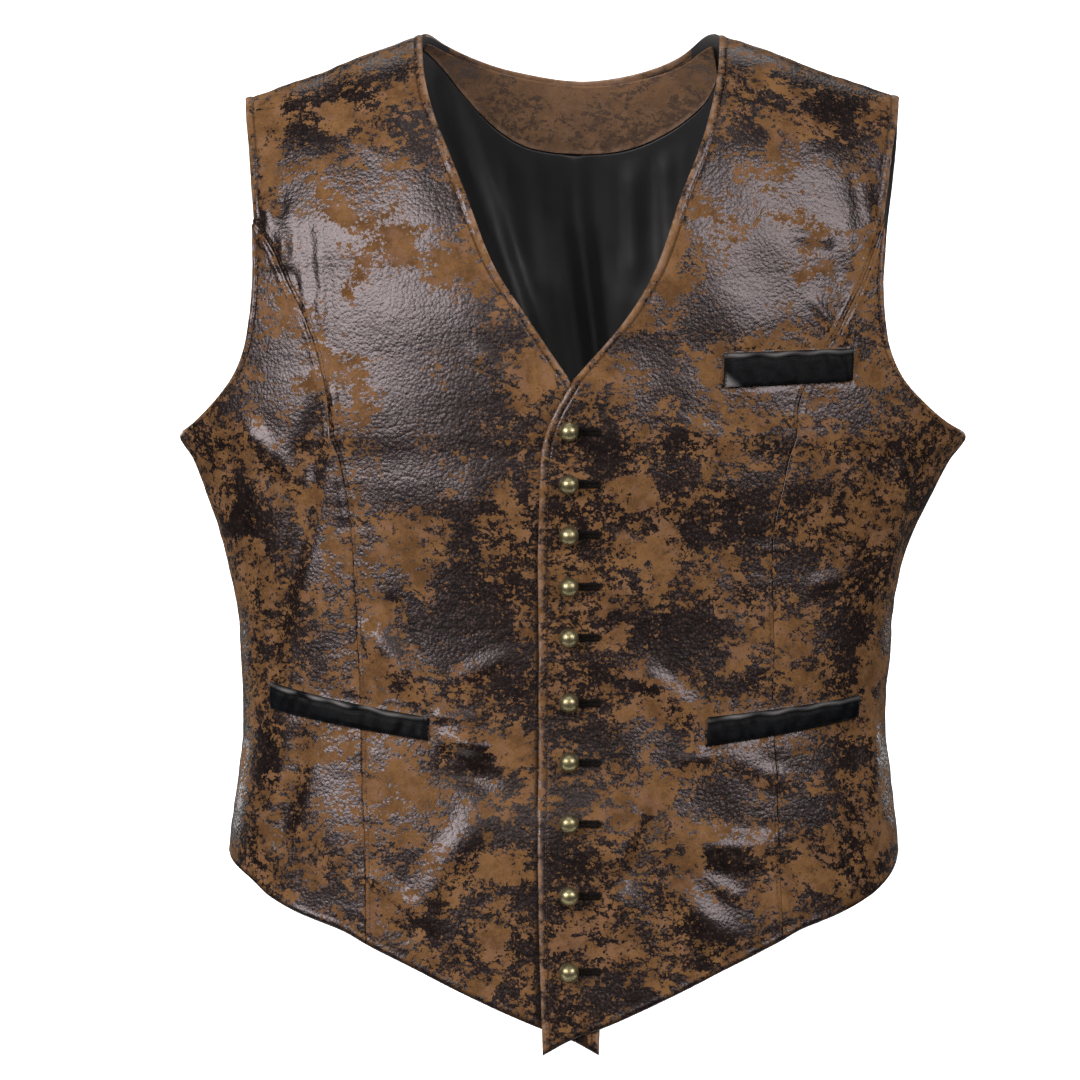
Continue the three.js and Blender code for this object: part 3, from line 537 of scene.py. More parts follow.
# Where the dark coat is left (over 0) or rubbed away (under 0) on the fronts: x, z, half width, half
# height, how much.
patches = [
    (-158, -43, 24, 5, 1), (-111, -24, 9, 4, 0.8), (-168, -69, 17, 11, 1.1), (-138, -66, 9, 4, 0.6),
    (-122, -86, 8, 4, 0.9), (-115, -96, 34, 3, 0.7), (-90, -105, 15, 9, 1), (-116, -116, 14, 5, 0.6),
    (-82, -136, 11, 6, 0.6), (-98, -60, 12, 3, 0.7), (-93, -79, 7, 6, 0.7), (-182, -114, 10, 17, 1),
    (-161, -146, 16, 25, 1.2), (-111, -179, 36, 26, 1.2), (-106, -214, 19, 26, 1.1),
    (-106, -248, 17, 22, 1.2), (-109, -288, 22, 14, 1), (-62, -187, 15, 19, 0.5),
    (-87, -174, 10, 14, 0.8), (-44, -205, 14, 19, 0.5), (-72, -236, 17, 16, 0.8),
    (-188, -214, 20, 14, 1.1), (-168, -243, 12, 11, 1), (-213, -240, 12, 6, 0.8),
    (110, -12, 12, 3, 0.8), (150, -29, 37, 4, 0.9), (127, -46, 12, 7, 0.8), (171, -49, 22, 9, 1),
    (110, -71, 14, 11, 0.7), (164, -74, 21, 7, 0.8), (91, -96, 6, 12, 0.9), (136, -100, 22, 12, 0.9),
    (80, -128, 9, 6, 1), (117, -119, 16, 7, 0.6), (169, -108, 16, 20, 1.1), (170, -146, 7, 17, 1),
    (114, -166, 25, 22, 1.2), (151, -171, 9, 9, 0.8), (79, -191, 12, 12, 0.9),
    (132, -136, 15, 10, 0.8), (55, -216, 12, 11, 0.7), (178, -246, 16, 9, 0.7),
    (132, -237, 22, 6, 0.7), (72, -233, 5, 16, 0.8), (-50, -270, 29, 25, 0.7),
    (-70, -317, 11, 16, 0.8), (-74, -362, 25, 25, 1.1), (-62, -395, 29, 19, 0.9),
    (-34, -400, 12, 19, 0.7), (-150, -289, 11, 20, 0.7), (-186, -318, 14, 14, 1),
    (-207, -305, 9, 15, 1.1), (-168, -352, 7, 14, 0.9), (-107, -356, 12, 7, 0.8),
    (-112, -389, 7, 11, 0.7), (-151, -398, 14, 9, 0.5), (19, -270, 14, 10, 0.9),
    (67, -282, 12, 20, 0.7), (110, -295, 20, 16, 1), (77, -322, 11, 9, 1), (117, -327, 14, 12, 0.7),
    (60, -377, 14, 11, 1.1), (87, -382, 17, 14, 1), (72, -395, 19, 10, 1), (100, -409, 17, 6, 1),
    (149, -349, 26, 14, 0.6), (176, -386, 14, 15, 0.9), (27, -374, 12, 6, 0.7), (36, -312, 10, 7, 0.7),
    (11, -398, 10, 7, 0.8), (9, -445, 12, 10, 0.9), (32, -448, 9, 12, 0.8), (60, -448, 9, 7, 0.9),
    (131, -463, 25, 9, 0.9), (178, -458, 16, 12, 0.9), (40, -415, 9, 3, 0.8), (36, -354, 6, 5, 0.8),
    (-54, -465, 19, 6, 1), (-151, -473, 12, 6, 0.8), (-192, -459, 7, 14, 0.8),
    (-170, -495, 11, 9, 0.8), (-67, -516, 9, 14, 0.8), (-155, -550, 16, 6, 1.2),
    (-86, -567, 15, 7, 1.1), (-67, -489, 9, 7, 0.6), (-15, -526, 9, 20, 0.8), (-47, -504, 14, 4, 0.7),
    (-107, -526, 16, 11, 0.5), (-43, -605, 6, 6, 0.8), (101, -486, 22, 10, 1), (145, -490, 12, 10, 1),
    (53, -526, 14, 9, 0.8), (96, -528, 19, 7, 1.1), (93, -559, 16, 11, 0.9), (1, -483, 12, 9, 0.8),
    (-2, -518, 14, 11, 0.9), (31, -607, 21, 5, 0.9), (-11, -605, 9, 15, 0.8), (77, -591, 14, 4, 0.7),
    (174, -515, 9, 12, 0.9), (176, -463, 10, 9, 0.7), (-192, -73, 7, 29, -1.1),
    (-148, -57, 19, 7, -0.9), (-108, -40, 14, 9, -0.9), (-130, -74, 10, 5, -0.7),
    (-148, -116, 22, 7, -1.1), (-109, -139, 16, 15, -1.1), (-74, -156, 15, 15, -1.1),
    (-55, -129, 6, 19, -0.9), (-173, -141, 5, 9, -0.9), (-137, -161, 6, 10, -0.9),
    (-183, -177, 9, 15, -1), (-156, -209, 7, 16, -1.1), (-127, -227, 12, 17, -1.2),
    (-23, -229, 11, 17, -1), (-44, -174, 5, 9, -0.6), (119, -32, 14, 7, -0.8), (144, -44, 7, 6, -0.7),
    (129, -74, 6, 6, -0.6), (87, -116, 8, 9, -0.9), (133, -119, 14, 4, -1), (60, -146, 8, 17, -1),
    (66, -164, 12, 7, -0.8), (149, -138, 7, 6, -0.9), (145, -154, 12, 5, -0.9),
    (186, -164, 7, 22, -0.9), (124, -199, 26, 3, -0.8), (36, -185, 9, 12, -0.9),
    (191, -208, 7, 16, -0.8), (89, -219, 5, 17, -0.8), (22, -224, 9, 9, -0.7), (57, -239, 10, 5, -0.7),
    (-95, -334, 22, 12, -1.2), (-106, -315, 16, 7, -1), (-93, -354, 6, 11, -1),
    (-40, -299, 9, 16, -1.2), (-124, -369, 10, 8, -1), (-37, -377, 7, 5, -1),
    (-125, -403, 9, 16, -1.1), (-155, -382, 7, 7, -0.7), (-168, -302, 5, 21, -0.9),
    (-209, -281, 12, 9, -0.8), (-148, -325, 9, 7, -0.6), (-201, -339, 7, 9, -0.7),
    (-103, -480, 22, 12, -1.2), (-37, -455, 10, 9, -1.1), (-158, -461, 11, 6, -0.8),
    (-178, -478, 9, 7, -0.8), (42, -293, 15, 7, -1.1), (52, -330, 21, 9, -1.2),
    (57, -315, 12, 5, -0.8), (109, -275, 10, 5, -0.9), (16, -362, 9, 5, -0.9), (49, -354, 6, 9, -0.9),
    (32, -386, 11, 5, -0.9), (107, -387, 15, 6, -1), (131, -382, 9, 11, -0.6), (44, -404, 14, 5, -1),
    (44, -428, 20, 6, -1.1), (149, -407, 12, 7, -0.7), (192, -417, 5, 37, -1),
    (100, -332, 11, 4, -0.8), (52, -480, 16, 11, -1.1), (27, -499, 12, 9, -0.9), (2, -574, 8, 8, -1.1),
    (120, -550, 12, 12, -1.1), (74, -524, 7, 9, -0.9), (151, -534, 16, 7, -1),
    (159, -474, 10, 6, -0.7), (130, -503, 9, 5, -0.7), (108, -463, 10, 5, -0.7),
    (31, -583, 19, 7, -0.9), (55, -597, 9, 6, -0.8), (194, -513, 5, 27, -1.1),
    (-131, -512, 9, 5, -0.8), (-123, -551, 14, 8, -0.9), (-44, -528, 14, 9, -0.9),
    (-47, -577, 9, 7, -1), (-56, -600, 7, 5, -0.8), (-51, -495, 14, 4, -0.8),
]


def spread(length, extra=(), pace=None):
    rim = np.array([step for step in cloth["rimSteps"] if step < cloth["rimShare"] * length])
    count = max(4, math.ceil((length - 2 * rim[-1]) / ((pace or cloth["step"]) * coarse)))
    inner = np.linspace(rim[-1], length - rim[-1], count + 1)
    t = np.concatenate([rim[:-1], inner, length - rim[-2::-1]]) / length
    for share in extra:
        t[np.argmin(np.abs(t - share))] = share
    return t


def swellAt(x, z, seed):
    draw = np.random.default_rng(seed)
    total = np.zeros_like(x)
    shortest, more = cloth["swellLength"]
    for _ in range(cloth["swellWaves"]):
        length, turn, phase = shortest + more * draw.random(), math.pi * draw.random(), 6.3 * draw.random()
        total += np.sin(2 * math.pi * (x * math.cos(turn) + z * math.sin(turn)) / length + phase)
    return total / math.sqrt(cloth["swellWaves"])


# How far the outer and the inner face are moved, from the distance to one edge.
def edgeRelief(d, kind, wall):
    row = edgeKinds[kind]
    rest = np.clip(1 - d / cloth["turn"], 0, 1)
    turned = wall * (1 - np.sqrt(1 - rest * rest))
    outer = -row["turn"][0] * turned
    for form, sign in (("puff", 1), ("groove", -1)):
        if form in row:
            most, place, half = row[form]
            outer = outer + sign * most * bump(d, place, half)
    return outer, row["turn"][1] * turned


# Gathers along a seam, which come and go.
def gathers(v, seed):
    pace = ripple(v, *cloth["puckerRest"], seed + 1, 3)
    wave = ripple(v, *cloth["puckerLength"], seed) * (0.55 + 0.45 * pace)
    return cloth["pucker"] * np.clip(wave, -cloth["puckerMost"], cloth["puckerMost"])


welts = {
    "rows": {  # distance from the middle, height and depth at the inner and the outer end
        "chest_left": (95.5, -206.5, 21.5, 177.5, -202.5, 20.5),
        "lower_left": (85.5, -434, 18, 181.5, -421, 14),
        "lower_right": (89.5, -434, 14.5, 189, -412.5, 17),
    },
    "span": (98, 20),
    "wall": 1.7,
    "lift": 2.6,
    "taper": (0.5, 1),
    "crown": 0.35,
    "wander": (1.9, 0.8, 16, 38),  # the rolled lip's middle, how far it wanders, shortest and longest wave
    "lip": (0.75, 1.2),  # height and half width
    "groove": (0.5, 2.2, 1.2),  # depth, distance below the lip and half width
    "wrinkle": (0.2, 7, 22),  # height, shortest and longest wave
    "endCalm": 5,  # no wrinkle at the very ends
    "foldIn": (0.5, 5.0, 2.2),  # the fold at the inner end
    "foldFrom": (-0.2, 1.2),  # above the lower edge
    "shineWave": (0.5, 0.4, 14, 40),  # the lip's shine: steady share, change, shortest and longest wave
    "cornerShine": 0.9,  # of the chest welt's folded corner
    "pressed": (0.15, 7),  # the share of the panel's relief left under a welt, and how far on it is whole
    "drawnIn": (0.55, 0.8, 1.3),  # the panel along the welt's edges: depth, place and half width
    "stitchIn": 1.5,
    "stitchPitch": 2.2,
    "stitch": (1.6, 0.5, 0.35),
}


# How far the panel's own relief is pressed flat under the welts, and how far it is drawn in round them.
def aroundWelts(base):
    x, z = base[..., 0], base[..., 2]
    inFront = base[..., 1] < 0
    (left, reach), (depth, middle, half) = welts["pressed"], welts["drawnIn"]
    calm, dip = np.ones_like(x), np.zeros_like(x)
    for name, (x0, z0, deep0, x1, z1, deep1) in welts["rows"].items():
        across = x if name.endswith("left") else -x
        share = np.clip((across - x0) / (x1 - x0), 0, 1)
        top, foot = z0 + share * (z1 - z0), z0 - deep0 + share * (z1 - deep1 - z0 + deep0)
        past = np.maximum(np.maximum(x0 - across, across - x1), np.maximum(z - top, foot - z))
        calm = np.minimum(calm, np.where(inFront, left + (1 - left) * step(0, reach, past), 1))
        dip = dip + np.where(inFront, depth * bump(past, middle, half), 0)
    return calm, dip


# The width, length and area that a piece was cut to: its places unrolled, along the girth and up the form.
def flatCut(angle, rise):
    middle, samples = math.pi * round(angle.mean() / math.pi), 241
    turns = np.linspace(angle.min() - 0.01, angle.max() + 0.01, samples)
    levels = np.linspace(rise.min() - 1, rise.max() + 1, samples)
    form = bareForm(*np.meshgrid(turns, levels))
    girth = np.pad(np.cumsum(np.linalg.norm(np.diff(form, axis=1), axis=-1), 1), ((0, 0), (1, 0)))
    height = np.pad(np.cumsum(np.linalg.norm(np.diff(form, axis=0), axis=-1), 0), ((1, 0), (0, 0)))
    girth -= girth[:, np.argmin(np.abs(turns - middle))][:, None]
    height -= height[np.argmin(np.abs(levels))]
    edge = [np.concatenate([v[0], v[1:, -1], v[-1, -2::-1], v[-2:0:-1, 0]]) for v in (angle, rise)]
    column = (edge[0] - turns[0]) / (turns[1] - turns[0])
    row = (edge[1] - levels[0]) / (levels[1] - levels[0])
    i, j = np.floor(row).astype(int), np.floor(column).astype(int)
    a, b = row - i, column - j

    def at(table):
        low = table[i, j] * (1 - b) + table[i, j + 1] * b
        return (low * (1 - a) + (table[i + 1, j] * (1 - b) + table[i + 1, j + 1] * b) * a) * mm

    x, y = at(girth), at(height)
    area = 0.5 * abs(float((x * np.roll(y, -1) - y * np.roll(x, -1)).sum()))
    return [round(float(v), 5) for v in (np.ptp(x), np.ptp(y), area)]


def evenEdges(kind):
    return {edge: [(kind, 1, 0)] for edge in ("start", "end", "bottom", "top")}


# A piece of cloth: a grid of places, how far out it lies, and the kind of each stretch of its edges.
class Panel:
    def __init__(self, name, places, edges, u, t, out=0.0, folds=0.0, fine=0.0, wall=body["wall"],
                 swell=cloth["swell"]):
        self.name, self.wall = name, wall
        angle, rise = places[..., 0], places[..., 1]
        base, normal = bareForm(angle, rise), outward(angle, rise)
        across = np.linalg.norm(np.diff(base, axis=1), axis=-1)
        up = np.linalg.norm(np.diff(base, axis=0), axis=-1)
        fromStart = np.pad(np.cumsum(across, 1), ((0, 0), (1, 0)))
        fromFoot = np.pad(np.cumsum(up, 0), ((1, 0), (0, 0)))
        self.distance = {
            "start": fromStart, "end": fromStart[:, -1:] - fromStart,
            "bottom": fromFoot, "top": fromFoot[-1:] - fromFoot,
        }
        self.cut = flatCut(angle, rise)
        relief, under = np.zeros_like(rise), np.zeros_like(rise)
        # How far each place is from the rubbed rim, the hem and the stitched groove; the rim is
        # for wear, the hem and the groove are for painted shade
        self.marks = {mark: np.full_like(rise, cloth["far"]) for mark in ("rim", "hem", "groove")}
        for edge, stretches in edges.items():
            run = t[:, None] if edge in ("start", "end") else u[None, :]
            d, begin = self.distance[edge], 0
            for kind, finish, pucker in stretches:
                here = (run >= begin) & (run <= finish)
                outer, inner = edgeRelief(d, kind, self.wall)
                relief, under = relief + np.where(here, outer, 0), under + np.where(here, inner, 0)
                for mark in edgeKinds[kind]["marks"]:
                    away = np.abs(d - cloth["stitchIn"]) if mark == "groove" else d
                    self.marks[mark] = np.where(here, np.minimum(self.marks[mark], away), self.marks[mark])
                if pucker:
                    along = base[..., 2] if edge in ("start", "end") else base[..., 0]
                    fade = np.exp(-((d / cloth["puckerReach"]) ** 2)) * step(-0.01, 0.03, run - begin)
                    relief = relief + np.where(here, gathers(along, pucker) * fade, 0)
                begin = finish
        relief = relief + swell * swellAt(base[..., 0], base[..., 2], cloth["swellSeed"]) + fine
        calm, dip = aroundWelts(base)
        relief = np.maximum(relief * calm - dip, -cloth["deepest"] * self.wall)
        self.outer = base + normal * (out + folds + relief)[..., None]
        self.inner = base + normal * (out + folds - self.wall + under)[..., None]
        self.normal, self.base, self.u, self.t = normal, base, u, t

    # Places along one edge, a distance in from it, for a line of stitches.
    def seamLine(self, edge, inset, begin=0.0, finish=1.0, lift=0.05, clear=4.5):
        upright = edge in ("start", "end")
        run, corners = (self.t, ("bottom", "top")) if upright else (self.u, ("start", "end"))
        nearest = np.argmin(np.abs(self.distance[edge] - inset), axis=1 if upright else 0)
        at = (np.arange(len(run)), nearest) if upright else (nearest, np.arange(len(run)))
        ends = np.minimum(*[self.distance[corner][at] for corner in corners])
        keep = (run >= begin) & (run <= finish) & (ends > clear)
        normals = self.normal[at][keep]
        return self.outer[at][keep] + normals * lift, normals

    # Faces point outwards, the last material is the inner face's, and leather is dressed by its shift.
    def build(self, materials, cutShift=None):
        outer, inner = self.outer, self.inner
        tall, wide = outer.shape[:2]
        grid = np.arange(tall * wide).reshape(tall, wide)
        a, b, c, d = grid[:-1, :-1], grid[:-1, 1:], grid[1:, 1:], grid[1:, :-1]
        n = tall * wide
        outside = np.stack([a, b, c, d], -1).reshape(-1, 4)
        inside = np.stack([a, d, c, b], -1).reshape(-1, 4) + n

        def strip(p, q):
            return np.stack([p, p + n, q + n, q], -1).reshape(-1, 4)

        rims = [strip(grid[0, :-1], grid[0, 1:]), strip(grid[-1, 1:], grid[-1, :-1]),
                strip(grid[1:, 0], grid[:-1, 0]), strip(grid[:-1, -1], grid[1:, -1])]
        faces = np.vstack([outside, inside, *rims])
        points = np.vstack([outer.reshape(-1, 3), inner.reshape(-1, 3)]) * mm
        slot = np.zeros(len(faces), int)
        slot[len(outside):len(outside) + len(inside)] = len(materials) - 1
        a, b, c = points[np.vstack([faces[:, [0, 1, 2]], faces[:, [0, 2, 3]]]).T]
        if np.einsum("ij,ij->i", a, np.cross(b, c)).sum() <= 0:
            faces = faces[:, ::-1]
        piece = makeMesh(self.name + "_" + materials[0], points, faces, materials)
        piece.data.polygons.foreach_set("material_index", slot)
        for mark, values in self.marks.items():
            setFloats(piece, mark, np.tile(values.ravel(), 2))
        if cutShift:
            dress(piece, cutShift)
        return piece


def addObject(name, data):
    made = bpy.data.objects.new(name, data)
    bpy.context.scene.collection.objects.link(made)
    return made


# The mesh that an object's modifiers make of it.
def bakedMesh(thing):
    bpy.context.view_layer.update()
    seen = thing.evaluated_get(bpy.context.evaluated_depsgraph_get())
    return bpy.data.meshes.new_from_object(seen)


def makeMesh(name, points, faces, materials):
    mesh = bpy.data.meshes.new(name)
    mesh.from_pydata(points.tolist(), [], faces.tolist() if hasattr(faces, "tolist") else faces)
    for material in materials:
        mesh.materials.append(finishes[material])
    mesh.polygons.foreach_set("use_smooth", np.ones(len(mesh.polygons), bool))
    return addObject(name, mesh)


def pointsOf(piece):
    points = np.empty(len(piece.data.vertices) * 3)
    piece.data.vertices.foreach_get("co", points)
    return points.reshape(-1, 3)


def setFloats(piece, name, values):
    kind = "FLOAT" if values.ndim == 1 else "FLOAT_VECTOR"
    layer = piece.data.attributes.get(name) or piece.data.attributes.new(name, kind, "POINT")
    layer.data.foreach_set("value" if values.ndim == 1 else "vector", values.astype(np.float32).ravel())


wearAndPaintedLight = {
    "warps": ((2.3, 4.5, 71), (5, 2.25, 73)),  # pace, reach and seed; up and down has the next seed
    "turned": (12, -610),  # the back has the same blotches turned end for end
    "fall": (1.5, 0.7),  # power and rate of a blotch's edge
    "most": 1.3,
    "sideCalm": 14,
    # painted light on the facing and on the inner faces round the neck
    "facingPaintedLight": 0.14,
    "insidePale": 0.30,
}


# What the leather reads: how much coat is left, painted light on the inner faces round the neck,
# and a shift of its own, so that no blotch runs over a seam.
def dress(piece, cutShift):
    at = pointsOf(piece) / mm
    x, y, z = at.T
    warpedX, warpedZ = x, z
    for pace, reach, seed in wearAndPaintedLight["warps"]:
        warpedX = warpedX + reach * swellAt(x * pace, z * pace, seed)
        warpedZ = warpedZ + reach * swellAt(x * pace, z * pace, seed + 1)
    behind, (turnedX, turnedZ), (power, rate) = y > 0, wearAndPaintedLight["turned"], wearAndPaintedLight["fall"]
    field = np.zeros(len(at))
    for px, pz, halfWide, halfTall, amount in patches:
        px, pz = np.where(behind, turnedX - px, px), np.where(behind, turnedZ - pz, pz)
        away = ((warpedX - px) / halfWide) ** 2 + ((warpedZ - pz) / halfTall) ** 2
        field += amount * np.exp(-(away**power) * rate)
    besideSeam = step(0, wearAndPaintedLight["sideCalm"], np.abs(y))
    # Painted light: the facing gets less dark coat, so it reads lighter
    rubbed = wearAndPaintedLight["facingPaintedLight"] if "facing" in piece.name else 0.0
    setFloats(piece, "patches", np.clip(field, -wearAndPaintedLight["most"], wearAndPaintedLight["most"]) * besideSeam - rubbed)
    if piece.name.startswith("back"):  # painted light on the inner faces, round the neck
        setFloats(piece, "pale", wearAndPaintedLight["insidePale"] * (np.arange(len(at)) >= len(at) // 2))
    setFloats(piece, "cut", np.tile(np.array(cutShift, float), (len(at), 1)))


def ownIt(piece, slot, *nodes):
    if nodes:
        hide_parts(*nodes)
    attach(piece, "root")


# Stitches follow lines of points: one tree for every seam.

stitch = {
    "pitch": 3.3,
    "size": (2.5, 0.62, 0.5),
    "rings": 4,
    "sides": 6,
    "uneven": 0.12,
}


def stitchTree():
    tree = bpy.data.node_groups.new("stitchLine", "GeometryNodeTree")
    inputs = {"Geometry": "Geometry", "pitch": "Float", "size": "Vector", "uneven": "Float",
              "thread": "Material"}
    for name, kind in inputs.items():
        tree.interface.new_socket(name, in_out="INPUT", socket_type="NodeSocket" + kind)
    tree.interface.new_socket("Geometry", in_out="OUTPUT", socket_type="NodeSocketGeometry")

    def node(kind, settings=None, sockets=None, output=0):
        return addNode(tree, kind, settings, sockets).outputs[output]

    given = addNode(tree, "NodeGroupInput").outputs
    curve = node("GeometryNodeMeshToCurve", None, {"Mesh": given["Geometry"]})
    along = node("GeometryNodeResampleCurve", {"mode": "LENGTH"}, {"Curve": curve, "Length": given["pitch"]})
    up = node("GeometryNodeInputNamedAttribute", {"data_type": "FLOAT_VECTOR"}, {"Name": "up"})
    turn = node("FunctionNodeAxesToRotation", {"primary_axis": "X", "secondary_axis": "Z"},
                {"Primary Axis": node("GeometryNodeInputTangent"), "Secondary Axis": up})
    ball = node("GeometryNodeMeshUVSphere", None,
                {"Segments": stitch["sides"], "Rings": stitch["rings"], "Radius": 0.5})
    ball = node("GeometryNodeSetShadeSmooth", None, {0: ball})
    low, high = [node("ShaderNodeMath", {"operation": operation}, {0: 1.0, 1: given["uneven"]})
                 for operation in ("SUBTRACT", "ADD")]
    draw = node("FunctionNodeRandomValue", {"data_type": "FLOAT"}, {"Seed": 5, 2: low, 3: high}, 1)
    scale = node("ShaderNodeVectorMath", {"operation": "SCALE"}, {0: given["size"], "Scale": draw})
    placed = node("GeometryNodeInstanceOnPoints", None,
                  {"Points": along, "Instance": ball, "Rotation": turn, "Scale": scale})
    real = node("GeometryNodeRealizeInstances", None, {0: placed})
    made = node("GeometryNodeSetMaterial", None, {"Geometry": real, "Material": given["thread"]})
    addNode(tree, "NodeGroupOutput", None, {0: made})
    return tree


stitchLine = stitchTree()


def sew(name, lines, finish, pitch=None, size=None, slot="distressed_leather"):
    points, edges, ups, start = [], [], [], 0
    for place, up in lines:
        if len(place) < 2:
            continue
        points.append(place)
        ups.append(up)
        edges += [(start + i, start + i + 1) for i in range(len(place) - 1)]
        start += len(place)
    mesh = bpy.data.meshes.new(name + "Path")
    mesh.from_pydata((np.vstack(points) * mm).tolist(), edges, [])
    path = addObject(name + "Path", mesh)
    setFloats(path, "up", np.vstack(ups))
    change = path.modifiers.new("stitches", "NODES")
    change.node_group = stitchLine
    given = {
        "pitch": (pitch or stitch["pitch"]) * mm,
        "size": [v * mm for v in (size or stitch["size"])],
        "uneven": stitch["uneven"],
        "thread": finishes[finish],
    }
    for item in stitchLine.interface.items_tree:
        if item.in_out == "INPUT" and item.name in given:
            change[item.identifier] = given[item.name]
    sewn = addObject(name, bakedMesh(path))
    bpy.data.objects.remove(path)
    ownIt(sewn, slot)
    print("sewn", name, len(sewn.data.polygons))
    return sewn


# The fronts

fronts = {
    "spans": {"centre": (155, 655), "side": (105, 410)},
    "seamHeight": [-120, -136, -160, -192, -236, -298, -373, -450, -516, -600],
    "seamRight": [201, 190, 179, 164, 153, 140.5, 134.5, 131, 129, 127.5],
    "seamLeft": [198.8, 193, 184, 168, 144, 131.5, 127.5, 128, 131, 134],
    "neckHeight": [-0.5, -30, -56, -80, -106, -153, -186, -223],
    "neckRight": [95, 92.5, 86, 76.5, 66, 47.5, 26, 1],
    "neckLeft": [96, 93.5, 88, 80.5, 70, 53.5, 34, 2],
    "edgeHeight": [-250, -272, -312, -440, -560],
    "edgeAcross": [13, 18.5, 20, 20, 20],
    "tip": (17.5, -644),
    "hemOut": [-18, 0, 20, 46, 73, 98, 121, 145, 172, 191, 205],
    "hemHeight": [-644, -634.5, -627, -616, -603.5, -591, -580, -568.5, -558.5, -549, -537.5],
    "armHeight": [-41, -54, -72, -98, -128, -160, -184, -204, -220, -235, -248],
    "armRight": [208, 207, 205, 203, 201.5, 202, 204, 208, 215, 226.5, 240.5],
    "armLeft": [211, 209, 205.5, 202, 199, 198, 199.5, 203.5, 211, 224, 240],
    "footOut": 130,
    "sideHemIn": 2,
    "seamTopRow": 4,  # of the armhole's table, where the shaped seam ends
    "cornerClear": 8,  # rows of a table closer to a corner than this are left out
    "lapLift": 2.8,
    "lapFlat": 24,
    "lapFade": 62,
    "flatTo": 0.53,  # of the way up, the front edge is flat
    "paintedShade": (-285, -315),  # above and below these heights, without and with a painted shadow line beside the lap
    "paintedShadeAway": (1.1, 0.4),  # how the distance marks for the painted shadow grow from the lap's edge
    "paintedShadeTo": 10,  # the painted shadow goes no further under the lap
    "edgeShare": 22 / 36,  # of the way up, where the front edge turns into the neck edge
    "seamShare": 29 / 36,  # and where the shaped seam meets the armhole
    "sideShare": 14 / 29,  # of a side panel, from the hem to the underarm
    # The largest folds, as in the solids: x0, z0, x1, z1, rise, half width
    "folds": [
        (-127, -380, -96, -416, 3, 15), (-74, -447, -50, -455, 4.5, 13), (-76, -464, -50, -476, -2.5, 14),
        (53, -488, 34, -540, -2.6, 13), (80, -514, 126, -518, 3.2, 15), (48, -409, 75, -432, 3, 14),
        (-158, -240, -171, -322, -2.6, 13), (-171, -322, -193, -407, -3, 12),
        (-168, -446, -184, -515, -2.6, 12), (-205, -252, -186, -276, 2.6, 11),
        (-184, -262, -172, -290, 2.2, 11), (212, -268, 200, -345, 2.8, 12), (190, -440, 192, -500, 2.4, 12),
        (-60, -500, -96, -556, 2.2, 17), (62, -540, 96, -572, 2.2, 16), (-196, -100, -178, -150, 2, 11),
    ],
    # Creases too fine for the solids
    "creases": [
        (-176, -134, -167, -190, -0.4, 5), (-171, -152, -163, -197, 0.6, 4.5),
        (-165, -126, -159, -170, -0.6, 4.5), (-160, -142, -156, -190, 0.55, 5),
        (-152, -150, -150, -204, -0.3, 5), (-183, -103, -187, -148, -0.55, 6),
        (-190, -108, -194, -136, 0.4, 5), (-176, -112, -180, -146, 0.5, 5.5),
        (-196, -118, -200, -150, -0.5, 5), (-155, -226, -152, -254, -0.6, 4),
        (-149, -230, -147, -262, 0.45, 4), (-144, -226, -142, -250, -0.4, 4),
        (-112, -360, -88, -417, -1.3, 8), (-86, -433, -60, -436, 1.3, 6),
        (-78, -457, -46, -459, -1.4, 6), (-128, -532, -98, -552, 1.4, 8), (-104, -548, -84, -566, 1.0, 7),
        (-122, -556, -100, -574, -1.0, 7), (47, -490, 28, -529, 1.3, 8), (70, -462, 87, -457, 1.4, 8),
        (80, -526, 124, -529, -1.5, 8), (90, -538, 106, -547, 1.0, 7), (166, -128, 169, -160, -0.45, 6),
        (173, -120, 176, -152, 0.35, 6), (178, -94, 183, -124, -0.35, 6), (186, -92, 189, -120, 0.3, 6),
        (138, -131, 166, -134, 0.6, 4.5), (143, -139, 164, -142, -0.5, 4.5), (152, -172, 172, -198, 1.0, 5),
        (160, -190, 178, -218, -0.9, 6), (20, -320, 44, -330, 0.8, 8), (-66, -290, -40, -352, 1.0, 14),
        (66, -250, 92, -262, 0.9, 12), (96, -330, 108, -372, -1.0, 10), (-40, -396, -70, -410, 0.9, 10),
        (150, -352, 186, -344, 0.9, 9), (-178, -470, -196, -506, 1.0, 8), (104, -460, 136, -476, 0.9, 11),
        (-150, -58, -118, -80, 0.8, 12), (118, -52, 150, -70, 0.8, 12), (-60, -204, -34, -228, 0.8, 9),
    ],
}
hemHeight = smooth(fronts["hemOut"], fronts["hemHeight"])


def tableOf(side, key):
    return np.array(fronts[key + ("Left" if side > 0 else "Right")], float)


# The rows of a table between two heights, from the lowest.
def rowsOf(side, heights, values, low=-math.inf, high=math.inf):
    heights, values = np.array(heights, float)[::-1], np.array(values, float)[::-1]
    keep = (heights > low) & (heights < high)
    return locate(side * values[keep], heights[keep])


def seamFoot(side):
    guess = hemHeight(fronts["footOut"])
    return smooth(fronts["seamHeight"], tableOf(side, "seam"))(guess), float(guess)


sideTurn = quarter - body["sideGap"]


def sidePlaces(side, heights, turn=sideTurn):
    heights = np.atleast_1d(np.asarray(heights, float))
    return np.stack([np.full(len(heights), side * turn), heights - body["closeFrom"]], -1)


sideHeights = [body["sideHem"], -470, -420, -370, -320, -290, body["armpit"]]


